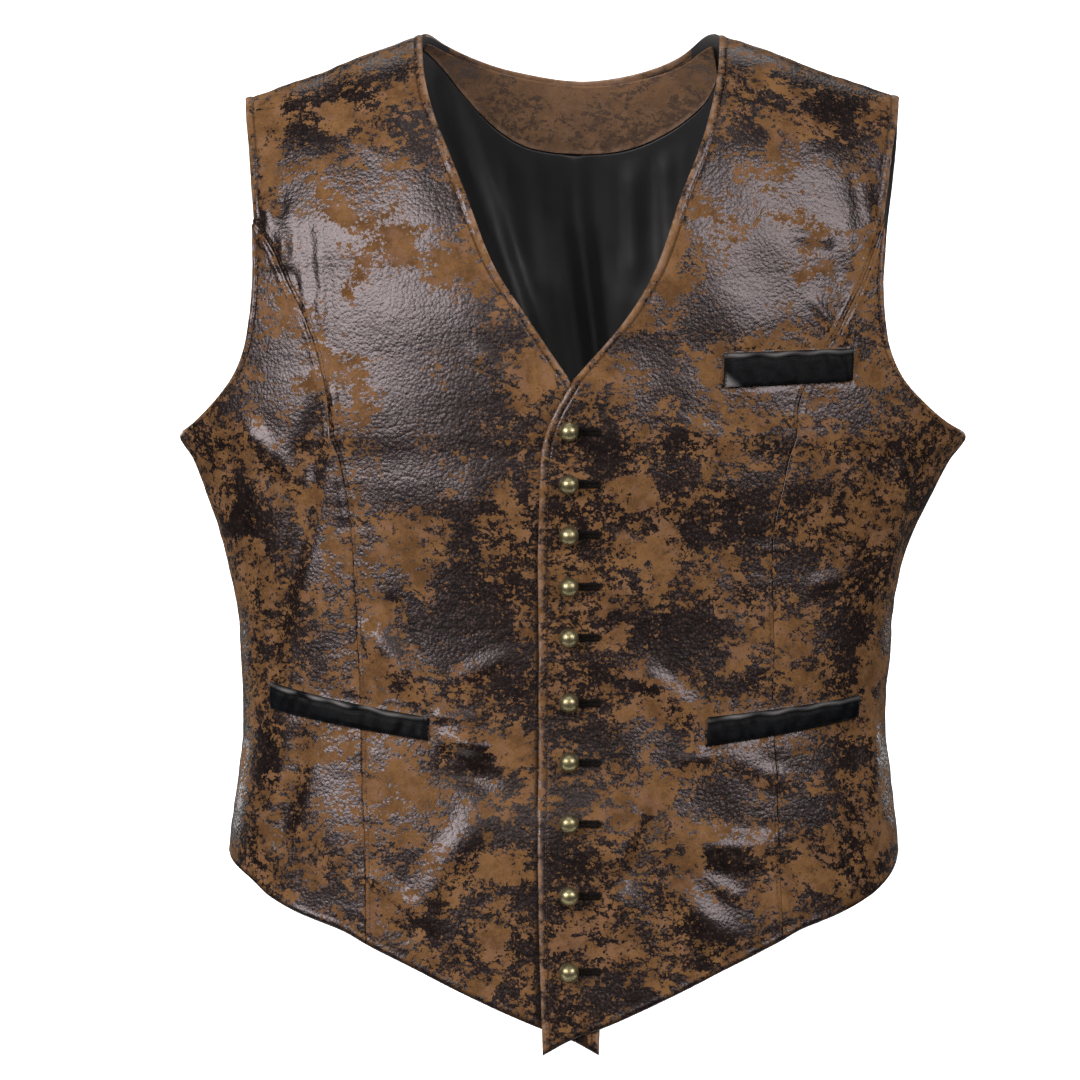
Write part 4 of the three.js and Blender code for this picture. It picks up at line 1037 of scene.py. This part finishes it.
def frontCentre(side, t, u):
    gap = body["seamGap"] / 2
    arm, neck, seam = tableOf(side, "arm"), tableOf(side, "neck"), tableOf(side, "seam")
    footOut, footHeight = seamFoot(side)
    footOut, clear = footOut - gap, fronts["cornerClear"]
    hem = [(x, z) for x, z in zip(fronts["hemOut"], fronts["hemHeight"])
           if -fronts["tip"][0] < x < footOut - clear]
    tip = locate(-side * fronts["tip"][0], fronts["tip"][1])
    foot = locate(side * footOut, hemHeight(footOut))
    bottom = line(tip, *[locate(side * x, z) for x, z in hem], foot)
    edge = line(tip, locate(-side * np.array(fronts["edgeAcross"][::-1]), fronts["edgeHeight"][::-1]),
                locate(side * neck[-1], fronts["neckHeight"][-1]))
    neckLine = line(locate(side * neck[::-1], fronts["neckHeight"][::-1]))
    seamLine = line(foot, rowsOf(side, fronts["seamHeight"], seam - gap, footHeight + clear))
    seamTop, armTop = fronts["seamHeight"][0], fronts["armHeight"][0]
    above = rowsOf(side, fronts["armHeight"], arm, seamTop + clear, armTop)
    armLine = line(locate(side * (seam[0] - gap), seamTop), above, seamPlace(side * arm[0]))
    shoulder = line(*[seamPlace(side * x) for x in np.linspace(neck[0], arm[0], 9)])
    pull = shoulder(np.array([0.0]))[0] - neckLine(np.array([1.0]))[0]

    def neckJoined(s):
        return neckLine(s) + (s**4)[..., None] * pull

    return patch(bottom, shoulder, chain([edge, neckJoined], [fronts["edgeShare"], 1]),
                 chain([seamLine, armLine], [fronts["seamShare"], 1]), u, t)


def frontSide(side, t, u):
    gap = body["seamGap"] / 2
    arm, seam = tableOf(side, "arm"), tableOf(side, "seam")
    footOut, footHeight = seamFoot(side)
    footOut, clear = footOut + gap, fronts["cornerClear"]
    foot = locate(side * footOut, hemHeight(footOut))
    hem = [(x - fronts["sideHemIn"], z) for x, z in zip(fronts["hemOut"], fronts["hemHeight"])
           if x > footOut + clear]
    bottom = line(foot, *[locate(side * x, z) for x, z in hem], sidePlaces(side, body["sideHem"]))
    inner = line(foot, rowsOf(side, fronts["seamHeight"], seam + gap, footHeight + clear))
    row = fronts["seamTopRow"]
    armTop = locate(side * arm[row], fronts["armHeight"][row])
    below = rowsOf(side, fronts["armHeight"], arm, high=fronts["armHeight"][row] - clear)
    armLine = line(sidePlaces(side, body["armpit"]), below, armTop)
    apex = inner(np.array([1.0]))[0]
    return patch(bottom, straight(apex, armTop), inner,
                 chain([line(sidePlaces(side, sideHeights)), armLine], [fronts["sideShare"], 1]), u, t)


def baseOf(places):
    return bareForm(places[..., 0], places[..., 1])


def foldsOf(places, folds):
    base = baseOf(places)
    fade = np.clip(np.abs(np.cos(places[..., 0])) / cloth["sideFade"], 0, 1)
    return foldSum(folds, base[..., 0], base[..., 2]) * fade


def creasesOf(places, creases):
    return np.clip(foldsOf(places, creases), *cloth["creaseLimits"])


def lapOut(base):
    return fronts["lapLift"] * (1 - step(fronts["lapFlat"], fronts["lapFade"], np.abs(base[..., 0])))


# Painted shadow on the right front beside the lap's edge, low down.
def lapGrime(base):
    x, z = base[..., 0], base[..., 2]
    lapAt = -smooth(fronts["edgeHeight"], fronts["edgeAcross"])(z)
    above = cloth["far"] * (1 - step(*fronts["paintedShade"], z))
    pace, first = fronts["paintedShadeAway"]
    beside = np.clip((lapAt - x) * pace + first, 0, cloth["far"]) + above
    return np.where(x < fronts["paintedShadeTo"], beside, cloth["far"])


def frontPanel(name, places, edges, u, t, out=0.0):
    folds, fine = foldsOf(places, fronts["folds"]), creasesOf(places, fronts["creases"])
    return Panel(name, places, edges, u, t, out, folds, fine)


panels = {}
for side, name in ((-1, "right"), (1, "left")):
    wide, tall = fronts["spans"]["centre"]
    u, t = spread(wide), spread(tall, (fronts["edgeShare"], fronts["seamShare"]))
    places = frontCentre(side, t, u)
    edges = {
        "start": [("lap", fronts["flatTo"], 0), ("free", 1, 0)],
        "end": [("seam", fronts["seamShare"], 31 + side), ("free", 1, 0)],
        "bottom": [("hem", 1, 45 + side)],
        "top": [("seam", 1, 51 + side)],
    }
    lap = lapOut(baseOf(places)) if side > 0 else 0.0
    panel = frontPanel("front_" + name + "_centre", places, edges, u, t, lap)
    panels[panel.name] = panel
    if side < 0:
        # painted shadow beside the lap's edge, kept in the hem's marks
        panel.marks["hem"] = np.minimum(panel.marks["hem"], lapGrime(panel.base))

    wide, tall = fronts["spans"]["side"]
    u, t = spread(wide), spread(tall, (fronts["sideShare"],))
    places = frontSide(side, t, u)
    edges = {
        "start": [("seam", 1, 31 + side)],
        "end": [("seam", fronts["sideShare"], 61 + side), ("free", 1, 65 + side)],
        "bottom": [("hem", 1, 47 + side)],
        "top": [("seam", 1, 0)],
    }
    panel = frontPanel("front_" + name + "_side", places, edges, u, t)
    panels[panel.name] = panel

cutShifts = {
    "front_right_centre": (0.0, 0.0, 0.0), "front_left_centre": (0.31, 0.2, 0.11),
    "front_right_side": (0.77, 0.1, 0.43), "front_left_side": (0.53, 0.6, 0.29),
    "back": (1.7, 1.1, 0.9), "back_neck_facing": (2.3, 0.4, 1.6),
}
pieces = {}
for name, panel in panels.items():
    pieces[name] = panel.build(["leather", "satin"], cutShifts[name])
    print(name, len(pieces[name].data.polygons), "cut", panel.cut)


# Buttons and their holes

buttons = {
    "heights": [-256, -288.4, -320, -352.4, -384, -425, -462.5, -500.5, -545, -592],
    "across": -1.2,
    "ball": 6.2,
    "seat": 0.4,  # clear of the cloth
    "sunk": 0.92,
    "shank": 1.4,
    "collar": (2.6, 0.7),  # radius and height of the small ring where the shank meets the ball
    "collarUp": 0.1,
    "bevel": (0.3, 0.15, 0.4),  # how far in at the ring's foot and top, and where it is widest
    "sides": 36,
    "bands": 22,
    "paintedShadeUp": 0.2,  # above the lap, where the distance marks for the painted shade begin
    "top": 12.0,  # the mark at the top of the ball
    "slot": (2.6, 19, 3.6, 9),  # before and after the button, height, depth of the cut
    "crisp": math.radians(52),  # edges of the cut sharper than this stay sharp
    "bar": (0.66, 3.3, 0.8),  # one stitch over the lip of the hole
    "barPitch": 0.62,
    "barIn": 0.55,
    "barStart": 1,  # after the slot's beginning
    "barRound": (0.5, 0.4),  # out and in, at the far end
    "barStep": 0.5,
    "barLift": 0.1,
}


# A place on the front, the way out of it, along it to the wearer's left, and down it.
def frameOn(across, height):
    place = locate(across, height)
    base, normal = bareForm(*place), outward(*place)
    along = np.array([1.0, 0, 0]) - normal * normal[0]
    along /= np.linalg.norm(along)
    return base, normal, along, np.cross(along, normal)


def foldsAt(base):
    return float(foldSum(fronts["folds"], base[0:1], base[2:3])[0])


def slotCutter():
    before, after, tall, deep = buttons["slot"]
    box = [(0, 1, 3, 2), (4, 6, 7, 5), (0, 4, 5, 1), (2, 3, 7, 6), (0, 2, 6, 4), (1, 5, 7, 3)]
    points, faces = [], []
    for height in buttons["heights"]:
        base, normal, along, down = frameOn(buttons["across"], height)
        centre = base + normal * (foldsAt(base) + fronts["lapLift"] - body["wall"] / 2)
        faces += [tuple(len(points) + v for v in face) for face in box]
        for reach in (-before, after):
            for drop in (-tall / 2, tall / 2):
                for lift in (-deep / 2, deep / 2):
                    points.append(centre + along * reach + down * drop + normal * lift)
    return makeMesh("slotCutter", np.array(points) * mm, faces, ["satin"])


def cutSlots(piece):
    cutter = slotCutter()
    change = piece.modifiers.new("holes", "BOOLEAN")
    change.operation, change.object, change.solver = "DIFFERENCE", cutter, "MANIFOLD"
    cut = bakedMesh(piece)
    piece.modifiers.clear()
    piece.data = cut
    bpy.data.objects.remove(cutter)
    piece.data.set_sharp_from_angle(angle=buttons["crisp"])


def buttonProfile():
    ball, seat = buttons["ball"], fronts["lapLift"] - body["seamGap"] + buttons["seat"]
    centre = seat + ball * buttons["sunk"]
    (ringOut, ringTall), (footIn, topIn, share) = buttons["collar"], buttons["bevel"]
    neck = seat + buttons["collarUp"]
    profile = [(0, 0), (buttons["shank"], 0), (buttons["shank"], neck), (ringOut - footIn, neck),
               (ringOut, neck + ringTall * share), (ringOut - topIn, neck + ringTall)]
    low = -math.acos((ringOut - topIn) / ball)
    for i in range(buttons["bands"]):
        lift = low + (quarter - low) * i / buttons["bands"]
        profile.append((ball * math.cos(lift), centre + ball * math.sin(lift)))
    return profile + [(0, centre + ball)]


def buttonAt(number, height):
    base, normal, along, down = frameOn(buttons["across"], height)
    foot = base + normal * (foldsAt(base) + body["seamGap"])
    profile, sides = buttonProfile(), buttons["sides"]
    points, rims = [foot + normal * profile[0][1]], [0.0]
    for r, lift in profile[1:-1]:
        for k in range(sides):
            a = 2 * math.pi * k / sides
            points.append(foot + normal * lift + (along * math.cos(a) + down * math.sin(a)) * r)
            rims.append(max(0.0, lift - fronts["lapLift"] - buttons["paintedShadeUp"]))
    points.append(foot + normal * profile[-1][1])
    rims.append(buttons["top"])
    faces = []
    for k in range(sides):
        n = (k + 1) % sides
        faces.append((0, 1 + n, 1 + k))
        for ring in range(len(profile) - 3):
            a, b = 1 + ring * sides, 1 + (ring + 1) * sides
            faces.append((a + k, a + n, b + n, b + k))
        last = 1 + (len(profile) - 3) * sides
        faces.append((last + k, last + n, len(points) - 1))
    name = "button_" + str(number).zfill(2)
    piece = makeMesh(name + "_brass", np.array(points) * mm, faces, ["brass"])
    squareUp(piece)
    setFloats(piece, "rim", np.array(rims))
    ownIt(piece, "aged_brass", name)


# Faces point outwards.
def squareUp(piece):
    points = pointsOf(piece)
    volume = 0.0
    for face in piece.data.polygons:
        v = list(face.vertices)
        for i in range(1, len(v) - 1):
            volume += points[v[0]] @ np.cross(points[v[i]], points[v[i + 1]])
    if volume < 0:
        piece.data.flip_normals()


cutSlots(pieces["front_left_centre"])
dress(pieces["front_left_centre"], cutShifts["front_left_centre"])
for i, height in enumerate(buttons["heights"]):
    buttonAt(i + 1, height)
print("buttons and holes:", len(pieces["front_left_centre"].data.polygons), "faces on the left front")


# The back, and inside it the facing and the lining

back = {
    "neckAcross": [-93, -80, -58, -28, 12, 44, 72, 93],
    "neckHeight": [0, -5, -13, -20.5, -25, -21.5, -13.5, -1],
    "armRight": [208, 207, 205, 203, 201.5, 202, 203.5, 208, 215, 226.5, 240],
    "armLeft": [211, 211, 210.5, 208.5, 205.5, 203.5, 203, 205.5, 212.5, 225, 240.5],
    "seamShare": 12 / 27,
    "shoulderShare": 5 / 22,
    "span": (520, 530),
    "turnIn": (78, -34),  # half width and lowest height of its own leather inside the neck
    "folds": [
        (-52, -300, -70, -500, 3, 22), (46, -290, 62, -480, 2.6, 20), (8, -380, 0, -520, -2.4, 20),
        (-150, -330, -90, -392, 2.6, 15), (156, -345, 92, -402, 2.8, 15), (-130, -410, -62, -424, -2.4, 14),
        (128, -414, 70, -430, 2.2, 14), (-212, -266, -186, -330, 2.6, 14), (212, -266, 190, -330, 2.6, 14),
        (-124, -80, -100, -190, 2, 26), (124, -86, 102, -200, 2, 26),
    ],
    "creases": [
        (-30, -376, 24, -384, 1.1, 9), (-58, -404, -12, -398, -1.0, 8), (20, -416, 70, -408, 1.0, 8),
        (-120, -360, -96, -378, 1.2, 7), (112, -368, 90, -384, 1.2, 7), (-186, -292, -172, -322, -1.1, 6),
        (184, -296, 170, -326, -1.1, 6), (-192, -280, -180, -306, 1.0, 5), (190, -284, 178, -310, 1.0, 5),
        (-40, -60, -28, -110, 0.9, 12), (36, -64, 30, -120, 0.9, 12), (0, -150, 4, -260, 0.8, 16),
        (-160, -120, -150, -180, -1.0, 8), (158, -116, 150, -176, -1.0, 8),
        (-170, -130, -162, -176, 1.0, 6), (-90, -470, -60, -505, 1.0, 9), (96, -462, 64, -500, 1.0, 9),
        (-12, -470, -22, -515, 0.9, 9),
        (-178, -430, -140, -446, 1.0, 8), (174, -436, 138, -450, 1.0, 8), (-70, -230, -20, -244, 0.8, 10),
        (66, -226, 24, -240, 0.8, 10),
    ],
}
facing = {
    "across": [-95, -83, -68, -48, -28, 4, 36, 60, 77, 90, 97],
    "height": [-5, -16, -34, -53.5, -65, -69.5, -67.3, -58.5, -48, -36, -22],
    "inset": 1.2,
    "wall": 1.2,
    "span": (232, 48),
}
lining = {
    "wall": 1.0,
    "clear": 1.4,  # inside the back
    "below": 0.8,  # below the facing's edge
    "side": 79,
    "armIn": 6,
    "seamIn": 3,
    "hemUp": 14,
    "loose": (225, 300, 3),
    "seamShare": 10 / 20,
    "shoulderShare": 4 / 22,
    "span": (440, 490),
    "soft": (0.35, 1.6, 0.7, 23),  # a slow swell: height, pace across and up, seed
    "softUp": 0.3,
    "softLeast": -0.4,
    # Measured inwards. The first two are its pleat in the middle of the back.
    "folds": [
        (5, -66, 6, -110, 4, 9), (6, -110, 20, -215, 5, 11), (41, -80, 43, -150, 2.4, 11),
        (64, -72, 66, -140, 2.2, 10), (-84, -20, -58, -95, 4, 11), (-58, -95, -26, -190, 4.5, 12),
    ],
    "creases": [
        (-2, -68, 2, -120, 0.9, 5), (-14, -70, -12, -108, 0.7, 5), (12, -72, 22, -150, -0.8, 5),
        (26, -74, 30, -130, 0.7, 6), (54, -72, 58, -150, -0.7, 6), (-44, -72, -34, -140, -0.9, 6),
        (-68, -60, -50, -120, -0.9, 5), (-30, -76, -20, -160, 0.8, 8), (76, -64, 72, -130, 0.8, 7),
        (34, -160, 30, -240, 0.9, 10), (-10, -150, 4, -240, 0.8, 8), (-120, -120, -90, -220, 0.9, 12),
        (110, -120, 96, -230, 0.9, 12), (-60, -280, -70, -430, 1.0, 14), (60, -270, 66, -440, 1.0, 14),
        (0, -300, 4, -450, 1.0, 12), (-130, -300, -110, -400, 0.9, 12), (128, -300, 112, -410, 0.9, 12),
    ],
}
insideBack = -(body["wall"] + lining["clear"])


# The hem of the back or of its lining, from side to side.
def hemLine(turn, rows, up=0):
    s = np.linspace(-1, 1, rows)
    height = body["backHem"] + (body["sideHem"] - body["backHem"]) * s * s + up
    return line(np.stack([s * turn, height - body["closeFrom"]], -1))


# The back's armhole up to the shoulder seam, and how far out it ends there.
def armPlaces(side, inset=0.0, skip=0):
    arm = np.array(back["armLeft" if side > 0 else "armRight"], float)
    heights = np.array(fronts["armHeight"], float)
    return locate(side * (arm[1:][::-1][skip:] - inset), heights[1:][::-1][skip:]), arm[0]


def backPlaces(t, u):
    sides = {}
    for side in (-1, 1):
        places, armTop = armPlaces(side)
        rows = line(sidePlaces(side, body["armpit"]), places, seamPlace(side * armTop))
        sides[side] = chain([line(sidePlaces(side, sideHeights)), rows], [back["seamShare"], 1])
    neck = line(locate(back["neckAcross"], back["neckHeight"]))
    right = line(*[seamPlace(x) for x in np.linspace(-back["armRight"][0], back["neckAcross"][0], 9)])
    left = line(*[seamPlace(x) for x in np.linspace(back["neckAcross"][-1], back["armLeft"][0], 9)])
    first, last = np.array([0.0]), np.array([1.0])
    low, high = right(last)[0] - neck(first)[0], left(first)[0] - neck(last)[0]

    def neckJoined(v):
        return neck(v) + ((1 - v) ** 6)[..., None] * low + (v**6)[..., None] * high

    share = back["shoulderShare"]
    top = chain([right, neckJoined, left], [share, 1 - share, 1])
    return patch(hemLine(sideTurn, 9), top, sides[-1], sides[1], u, t)


def facingPlaces(t, u):
    upper = line(locate(back["neckAcross"], np.array(back["neckHeight"]) - facing["inset"]))
    lower = line(locate(facing["across"], facing["height"]))

    def joined(at):
        return straight(lower(np.array([at]))[0], upper(np.array([at]))[0])

    return patch(lower, upper, joined(0.0), joined(1.0), u, t)


def liningPlaces(t, u):
    turn = math.radians(lining["side"])
    lower = locate(facing["across"], np.array(facing["height"]) - lining["below"])
    top = body["armpit"] - lining["armIn"]
    sides, tips = {}, {}
    for side in (-1, 1):
        places, armTop = armPlaces(side, lining["armIn"], 1)
        heights = np.array([body["sideHem"] + lining["hemUp"], *sideHeights[1:-1], top])
        seam = line(sidePlaces(side, heights, turn))
        tips[side] = seamPlace(side * (armTop - lining["armIn"])) - [0, lining["seamIn"]]
        rows = line(sidePlaces(side, top, turn), places, tips[side])
        sides[side] = chain([seam, rows], [lining["seamShare"], 1])
    share = lining["shoulderShare"]
    upper = chain([straight(tips[-1], lower[0]), line(lower), straight(lower[-1], tips[1])],
                  [share, 1 - share, 1])
    return patch(hemLine(turn, 6, lining["hemUp"]), upper, sides[-1], sides[1], u, t)


# The same places seen from behind.
def turnedRound(places):
    return np.stack([math.pi - places[..., 0], places[..., 1]], -1)


def backPanel():
    share, pace, (wide, tall) = back["shoulderShare"], cloth["backStep"], back["span"]
    u, t = spread(wide, (share, 1 - share), pace), spread(tall, (back["seamShare"],), pace)
    places = turnedRound(backPlaces(t, u))
    edges = {
        "start": [("seam", back["seamShare"], 60), ("free", 1, 64)],
        "end": [("seam", back["seamShare"], 62), ("free", 1, 66)],
        "bottom": [("hem", 1, 81)],
        "top": [("seam", share, 50), ("free", 1 - share, 0), ("seam", 1, 52)],
    }
    folds, fine = foldsOf(places, back["folds"]), creasesOf(places, back["creases"])
    return Panel("back", places, edges, u, t, folds=folds, fine=fine)


# The back's own leather is turned in round the neck, above the facing.
def turnInNeck(piece):
    faces = piece.data.polygons
    middle, slot = np.empty(len(faces) * 3), np.empty(len(faces), int)
    faces.foreach_get("center", middle)
    faces.foreach_get("material_index", slot)
    x, z = middle.reshape(-1, 3)[:, 0] / mm, middle.reshape(-1, 3)[:, 2] / mm
    half, lowest = back["turnIn"]
    slot[(np.abs(x) < half) & (z > lowest)] = 0
    faces.foreach_set("material_index", slot)


def facingPanel():
    u, t = [spread(length) for length in facing["span"]]
    places = turnedRound(facingPlaces(t, u))
    edges = evenEdges("flat") | {"bottom": [("plain", 1, 0)]}
    folds = foldsOf(places, back["folds"])
    return Panel("back_neck_facing", places, edges, u, t, insideBack, folds, wall=facing["wall"], swell=0.0)


def liningPanel():
    share, pace, (wide, tall) = lining["shoulderShare"], cloth["liningStep"], lining["span"]
    u, t = spread(wide, (share, 1 - share), pace), spread(tall, (lining["seamShare"],), pace)
    places = turnedRound(liningPlaces(t, u))
    base = baseOf(places)
    x, z = base[..., 0], base[..., 2]
    (low, high, most), (rise, paceAcross, paceUp, seed) = lining["loose"], lining["soft"]
    soft = foldSum(lining["creases"], x, z) + rise * swellAt(x * paceAcross, z * paceUp, seed)
    inwards = foldSum(lining["folds"], x, z) + step(low, high, -z) * most
    inwards = inwards + np.maximum(soft + lining["softUp"], lining["softLeast"])
    folds = foldsOf(places, back["folds"]) - inwards
    return Panel("back_lining", places, evenEdges("plain"), u, t, insideBack, folds, wall=lining["wall"],
                 swell=0.0)


for make, finish in ((backPanel, "leather"), (facingPanel, "leather"), (liningPanel, "satin")):
    panel = make()
    panels[panel.name] = panel
    faces = [finish, "satin"] if panel.name == "back" else [finish]
    pieces[panel.name] = panel.build(faces, cutShifts.get(panel.name))
    if panel.name == "back":
        turnInNeck(pieces[panel.name])
    print(panel.name, len(pieces[panel.name].data.polygons), "cut", panel.cut)


# The welts

def weltPanel(name, row):
    side = 1 if name.endswith("left") else -1
    x0, z0, deep0, x1, z1, deep1 = row
    tip0, tip1 = welts["taper"]
    corners = {
        "topIn": locate(side * x0, z0), "lowIn": locate(side * (x0 - tip0), z0 - deep0),
        "topOut": locate(side * x1, z1), "lowOut": locate(side * (x1 - tip1), z1 - deep1),
    }

    def run(a, b):
        return straight(corners[a], corners[b])

    u, t = [spread(length, (), cloth["weltStep"]) for length in welts["span"]]
    places = patch(run("lowIn", "lowOut"), run("topIn", "topOut"), run("lowIn", "topIn"),
                   run("lowOut", "topOut"), u, t)
    folds = foldsOf(places, fronts["folds"])
    panel = Panel("welt_" + name, places, evenEdges("plain"), u, t, welts["lift"], folds, wall=welts["wall"],
                  swell=0.0)
    dressWelt(panel, name, t)
    return panel


# The rolled lip and the crinkles on a welt's face, and where it shines.
def dressWelt(panel, name, t):
    side = 1 if name.endswith("left") else -1
    z0 = welts["rows"][name][1]
    x, z = panel.base[..., 0], panel.base[..., 2]
    start, end, bottom, top = [panel.distance[edge] for edge in ("start", "end", "bottom", "top")]
    rowShare = t[:, None] + 0 * x
    crown = welts["crown"] * np.sin(math.pi * np.clip(rowShare, 0, 1)) ** 0.7
    middle, wander, *lengths = welts["wander"]
    lipAway = top - (middle + wander * ripple(x, *lengths, 90 + len(name), 3))
    height, half = welts["lip"]
    lip = height * bump(lipAway, 0, half)
    depth, place, half = welts["groove"]
    groove = -depth * bump(lipAway, place, half)
    rise, *lengths = welts["wrinkle"]
    crinkle = rise * ripple(x + 0.35 * side * z, *lengths, 95 + int(z0) % 7, 4)
    calm = step(0, welts["endCalm"], np.minimum(start, end))
    rise, place, half = welts["foldIn"]
    folded = rise * bump(start, place, half) * (1 - rowShare)
    more = (crown + lip + groove + crinkle * calm + folded) * step(*welts["foldFrom"], bottom)
    panel.outer = panel.outer + panel.normal * more[..., None]
    steady, change, *lengths = welts["shineWave"]
    shine = bump(lipAway, -0.1, 1.1) * (steady + change * ripple(x, *lengths, 97 + len(name), 3))
    if name == "chest_left":
        corner = step(12, 4.5, start * 0.9 + bottom)
        shine = np.maximum(shine, welts["cornerShine"] * corner * step(0.4, 1.6, start))
    panel.marks["sheen"] = np.clip(shine, 0, 1)


for name, row in welts["rows"].items():
    panel = weltPanel(name, row)
    panels[panel.name] = panel
    pieces[panel.name] = panel.build(["welt"])
print("welts ready")


# Sewing

def edgeStitches():
    lines = {}
    inset = cloth["stitchIn"]
    for name in ("right", "left"):
        centre, side = panels["front_" + name + "_centre"], panels["front_" + name + "_side"]
        lines[name] = [
            centre.seamLine("start", inset),
            centre.seamLine("end", cloth["seamIn"], 0, fronts["seamShare"]),
            centre.seamLine("end", inset, fronts["seamShare"], 1),
            side.seamLine("end", inset, fronts["sideShare"], 1),
        ]
    share = back["shoulderShare"]
    runs = {"start": (back["seamShare"], 1), "end": (back["seamShare"], 1), "top": (share, 1 - share)}
    lines["back"] = [panels["back"].seamLine(edge, inset, *run) for edge, run in runs.items()]
    return lines


def weltStitches():
    inset = welts["stitchIn"]
    found = []
    for name in welts["rows"]:
        panel = panels["welt_" + name]
        found += [panel.seamLine(edge, inset, clear=inset) for edge in ("start", "end")]
    return found


# Bars of thread over the lips of each hole, all the way round but for the button's end.
def holeStitches():
    before, after, tall, _ = buttons["slot"]
    start, lip, (far, near) = buttons["barStart"] - before, tall / 2 - buttons["barIn"], buttons["barRound"]
    upper = [(start, lip), (after, lip), (after + far, lip - near)]
    corners = upper + [(x, -z) for x, z in reversed(upper)]
    path = []
    for (x0, z0), (x1, z1) in zip(corners[:-1], corners[1:]):
        count = max(2, int(math.hypot(x1 - x0, z1 - z0) / buttons["barStep"]))
        path += [(x0 + (x1 - x0) * i / count, z0 + (z1 - z0) * i / count) for i in range(count)]
    path = np.array(path)
    found = []
    for height in buttons["heights"]:
        base, _, along, down = frameOn(buttons["across"], height)
        spots = base + along * path[:, :1] + down * path[:, 1:]
        at = locate(spots[:, 0], spots[:, 2])
        under, up = baseOf(at), outward(at[:, 0], at[:, 1])
        swell = cloth["swell"] * swellAt(under[:, 0], under[:, 2], cloth["swellSeed"])
        out = foldsOf(at, fronts["folds"]) + creasesOf(at, fronts["creases"]) + swell + lapOut(under)
        found.append((under + up * (out + buttons["barLift"])[:, None], up))
    return found


seams = {name: sew("stitches_" + name, lines, "thread") for name, lines in edgeStitches().items()}
seams["welts"] = sew("stitches_welts", weltStitches(), "blackThread", welts["stitchPitch"], welts["stitch"],
                     "black_leather")
seams["holes"] = sew("stitches_buttonholes", holeStitches(), "blackThread", buttons["barPitch"],
                     buttons["bar"], "black_satin")


# Each piece hides the solid of its name and rides on the root

slots = {"leather": "distressed_leather", "satin": "black_satin", "welt": "black_leather"}
for name, piece in pieces.items():
    finish = piece.name.rsplit("_", 1)[1]
    ownIt(piece, slots[finish], name)


for name in ("right", "left"):
    centre, side = "front_" + name + "_centre", "front_" + name + "_side"
for name in welts["rows"]:
    "welt_" + name
    "front_" + name.split("_")[1] + "_centre"
    [seams["welts"]] if name == "chest_left" else []


# The stage, the lights and the camera

studio = {
    "floor": -0.9,
    "wall": 4.8,
    "top": 4.0,
    "bend": 0.6,
    "bendSteps": 16,
    "half": 0.9,
    "front": -0.35,
    "paper": ((0.86, 0.86, 0.86), (0.90, 0.90, 0.90)),
    "camera": (-0.0192, -3.5, -0.3232),
    "lens": 182.3,
    # place, aim, size across, size up, power, colour
    "boxes": {
        "leftBox": ((-2.0, -2.3, 0.6), (-0.13, -0.07, -0.2), 1.9, 1.25, 92, (1.0, 0.95, 0.955)),
        "rightBox": ((1.94, -2.33, 0.82), (0.12, -0.07, -0.15), 1.8, 1.15, 58, (1.0, 0.95, 0.955)),
        "topBox": ((0.0, -1.1, 1.75), (0, 0, -0.1), 2.2, 1.0, 8, (1.0, 1.0, 1.0)),
        "overCamera": ((0.0, -3.3, 0.8), (0, 0, -0.15), 2.0, 0.9, 9, (1.0, 0.97, 0.93)),
        "behind": ((0.0, 1.0, 2.4), (0, 0.1, -0.4), 2.4, 1.4, 24, (1.0, 1.0, 1.0)),
        "backLeft": ((-2.4, 2.5, 0.5), (-0.05, 0.1, -0.3), 1.4, 1.6, 40, (1.0, 1.0, 1.0)),
        "backRight": ((2.4, 2.5, 0.5), (0.05, 0.1, -0.3), 1.4, 1.6, 30, (1.0, 1.0, 1.0)),
        "paperLeft": ((-1.7, 3.2, 0.1), (0.2, 4.5, -0.6), 1.2, 1.8, 74, (1.0, 1.0, 1.0)),
        "paperRight": ((1.7, 3.2, 0.1), (-0.2, 4.5, -0.6), 1.2, 1.8, 74, (1.0, 1.0, 1.0)),
    },
    "ambient": 0.05,
}


def sweep():
    profile, bend = [(studio["front"], studio["floor"])], studio["bend"]
    for i in range(studio["bendSteps"] + 1):
        a = quarter * i / studio["bendSteps"]
        over, up = bend * (1 - math.sin(a)), bend * (1 - math.cos(a))
        profile.append((studio["wall"] - over, studio["floor"] + up))
    profile.append((studio["wall"], studio["top"]))
    points = np.array([(x, y, z) for x in (-studio["half"], studio["half"]) for y, z in profile])
    n = len(profile)
    faces = [(i, n + i, n + i + 1, i + 1) for i in range(n - 1)]
    floor = makeMesh("studioSweep", points, faces, [])
    f = Finish("palePaper")
    colour = f.mix(f.noise(f.place(), 400.0), *studio["paper"])
    floor.data.materials.append(f.finish(f.shader(Base_Color=colour, Roughness=0.9)))


def softbox(name, place, aim, wide, tall, power, colour):
    lamp = bpy.data.lights.new(name, "AREA")
    lamp.shape, lamp.size, lamp.size_y = "RECTANGLE", wide, tall
    lamp.energy, lamp.color = power, colour
    box = addObject(name, lamp)
    box.location = place
    towards = mathutils.Vector(aim) - mathutils.Vector(place)
    box.rotation_euler = towards.to_track_quat("-Z", "Y").to_euler()


sweep()
for name, row in studio["boxes"].items():
    softbox(name, *row)

world = bpy.data.worlds.new("studio")
world.use_nodes = True
world.node_tree.nodes["Background"].inputs["Color"].default_value = (1.0, 1.0, 1.0, 1.0)
world.node_tree.nodes["Background"].inputs["Strength"].default_value = studio["ambient"]
bpy.context.scene.world = world

lens = bpy.data.cameras.new("photoView")
lens.lens, lens.sensor_width = studio["lens"], 36.0
camera = addObject("photoView", lens)
camera.location = studio["camera"]
camera.rotation_euler = (quarter, 0.0, 0.0)
bpy.context.scene.camera = camera
bpy.context.scene.view_settings.view_transform = "Standard"
print("stage, lights and camera ready")
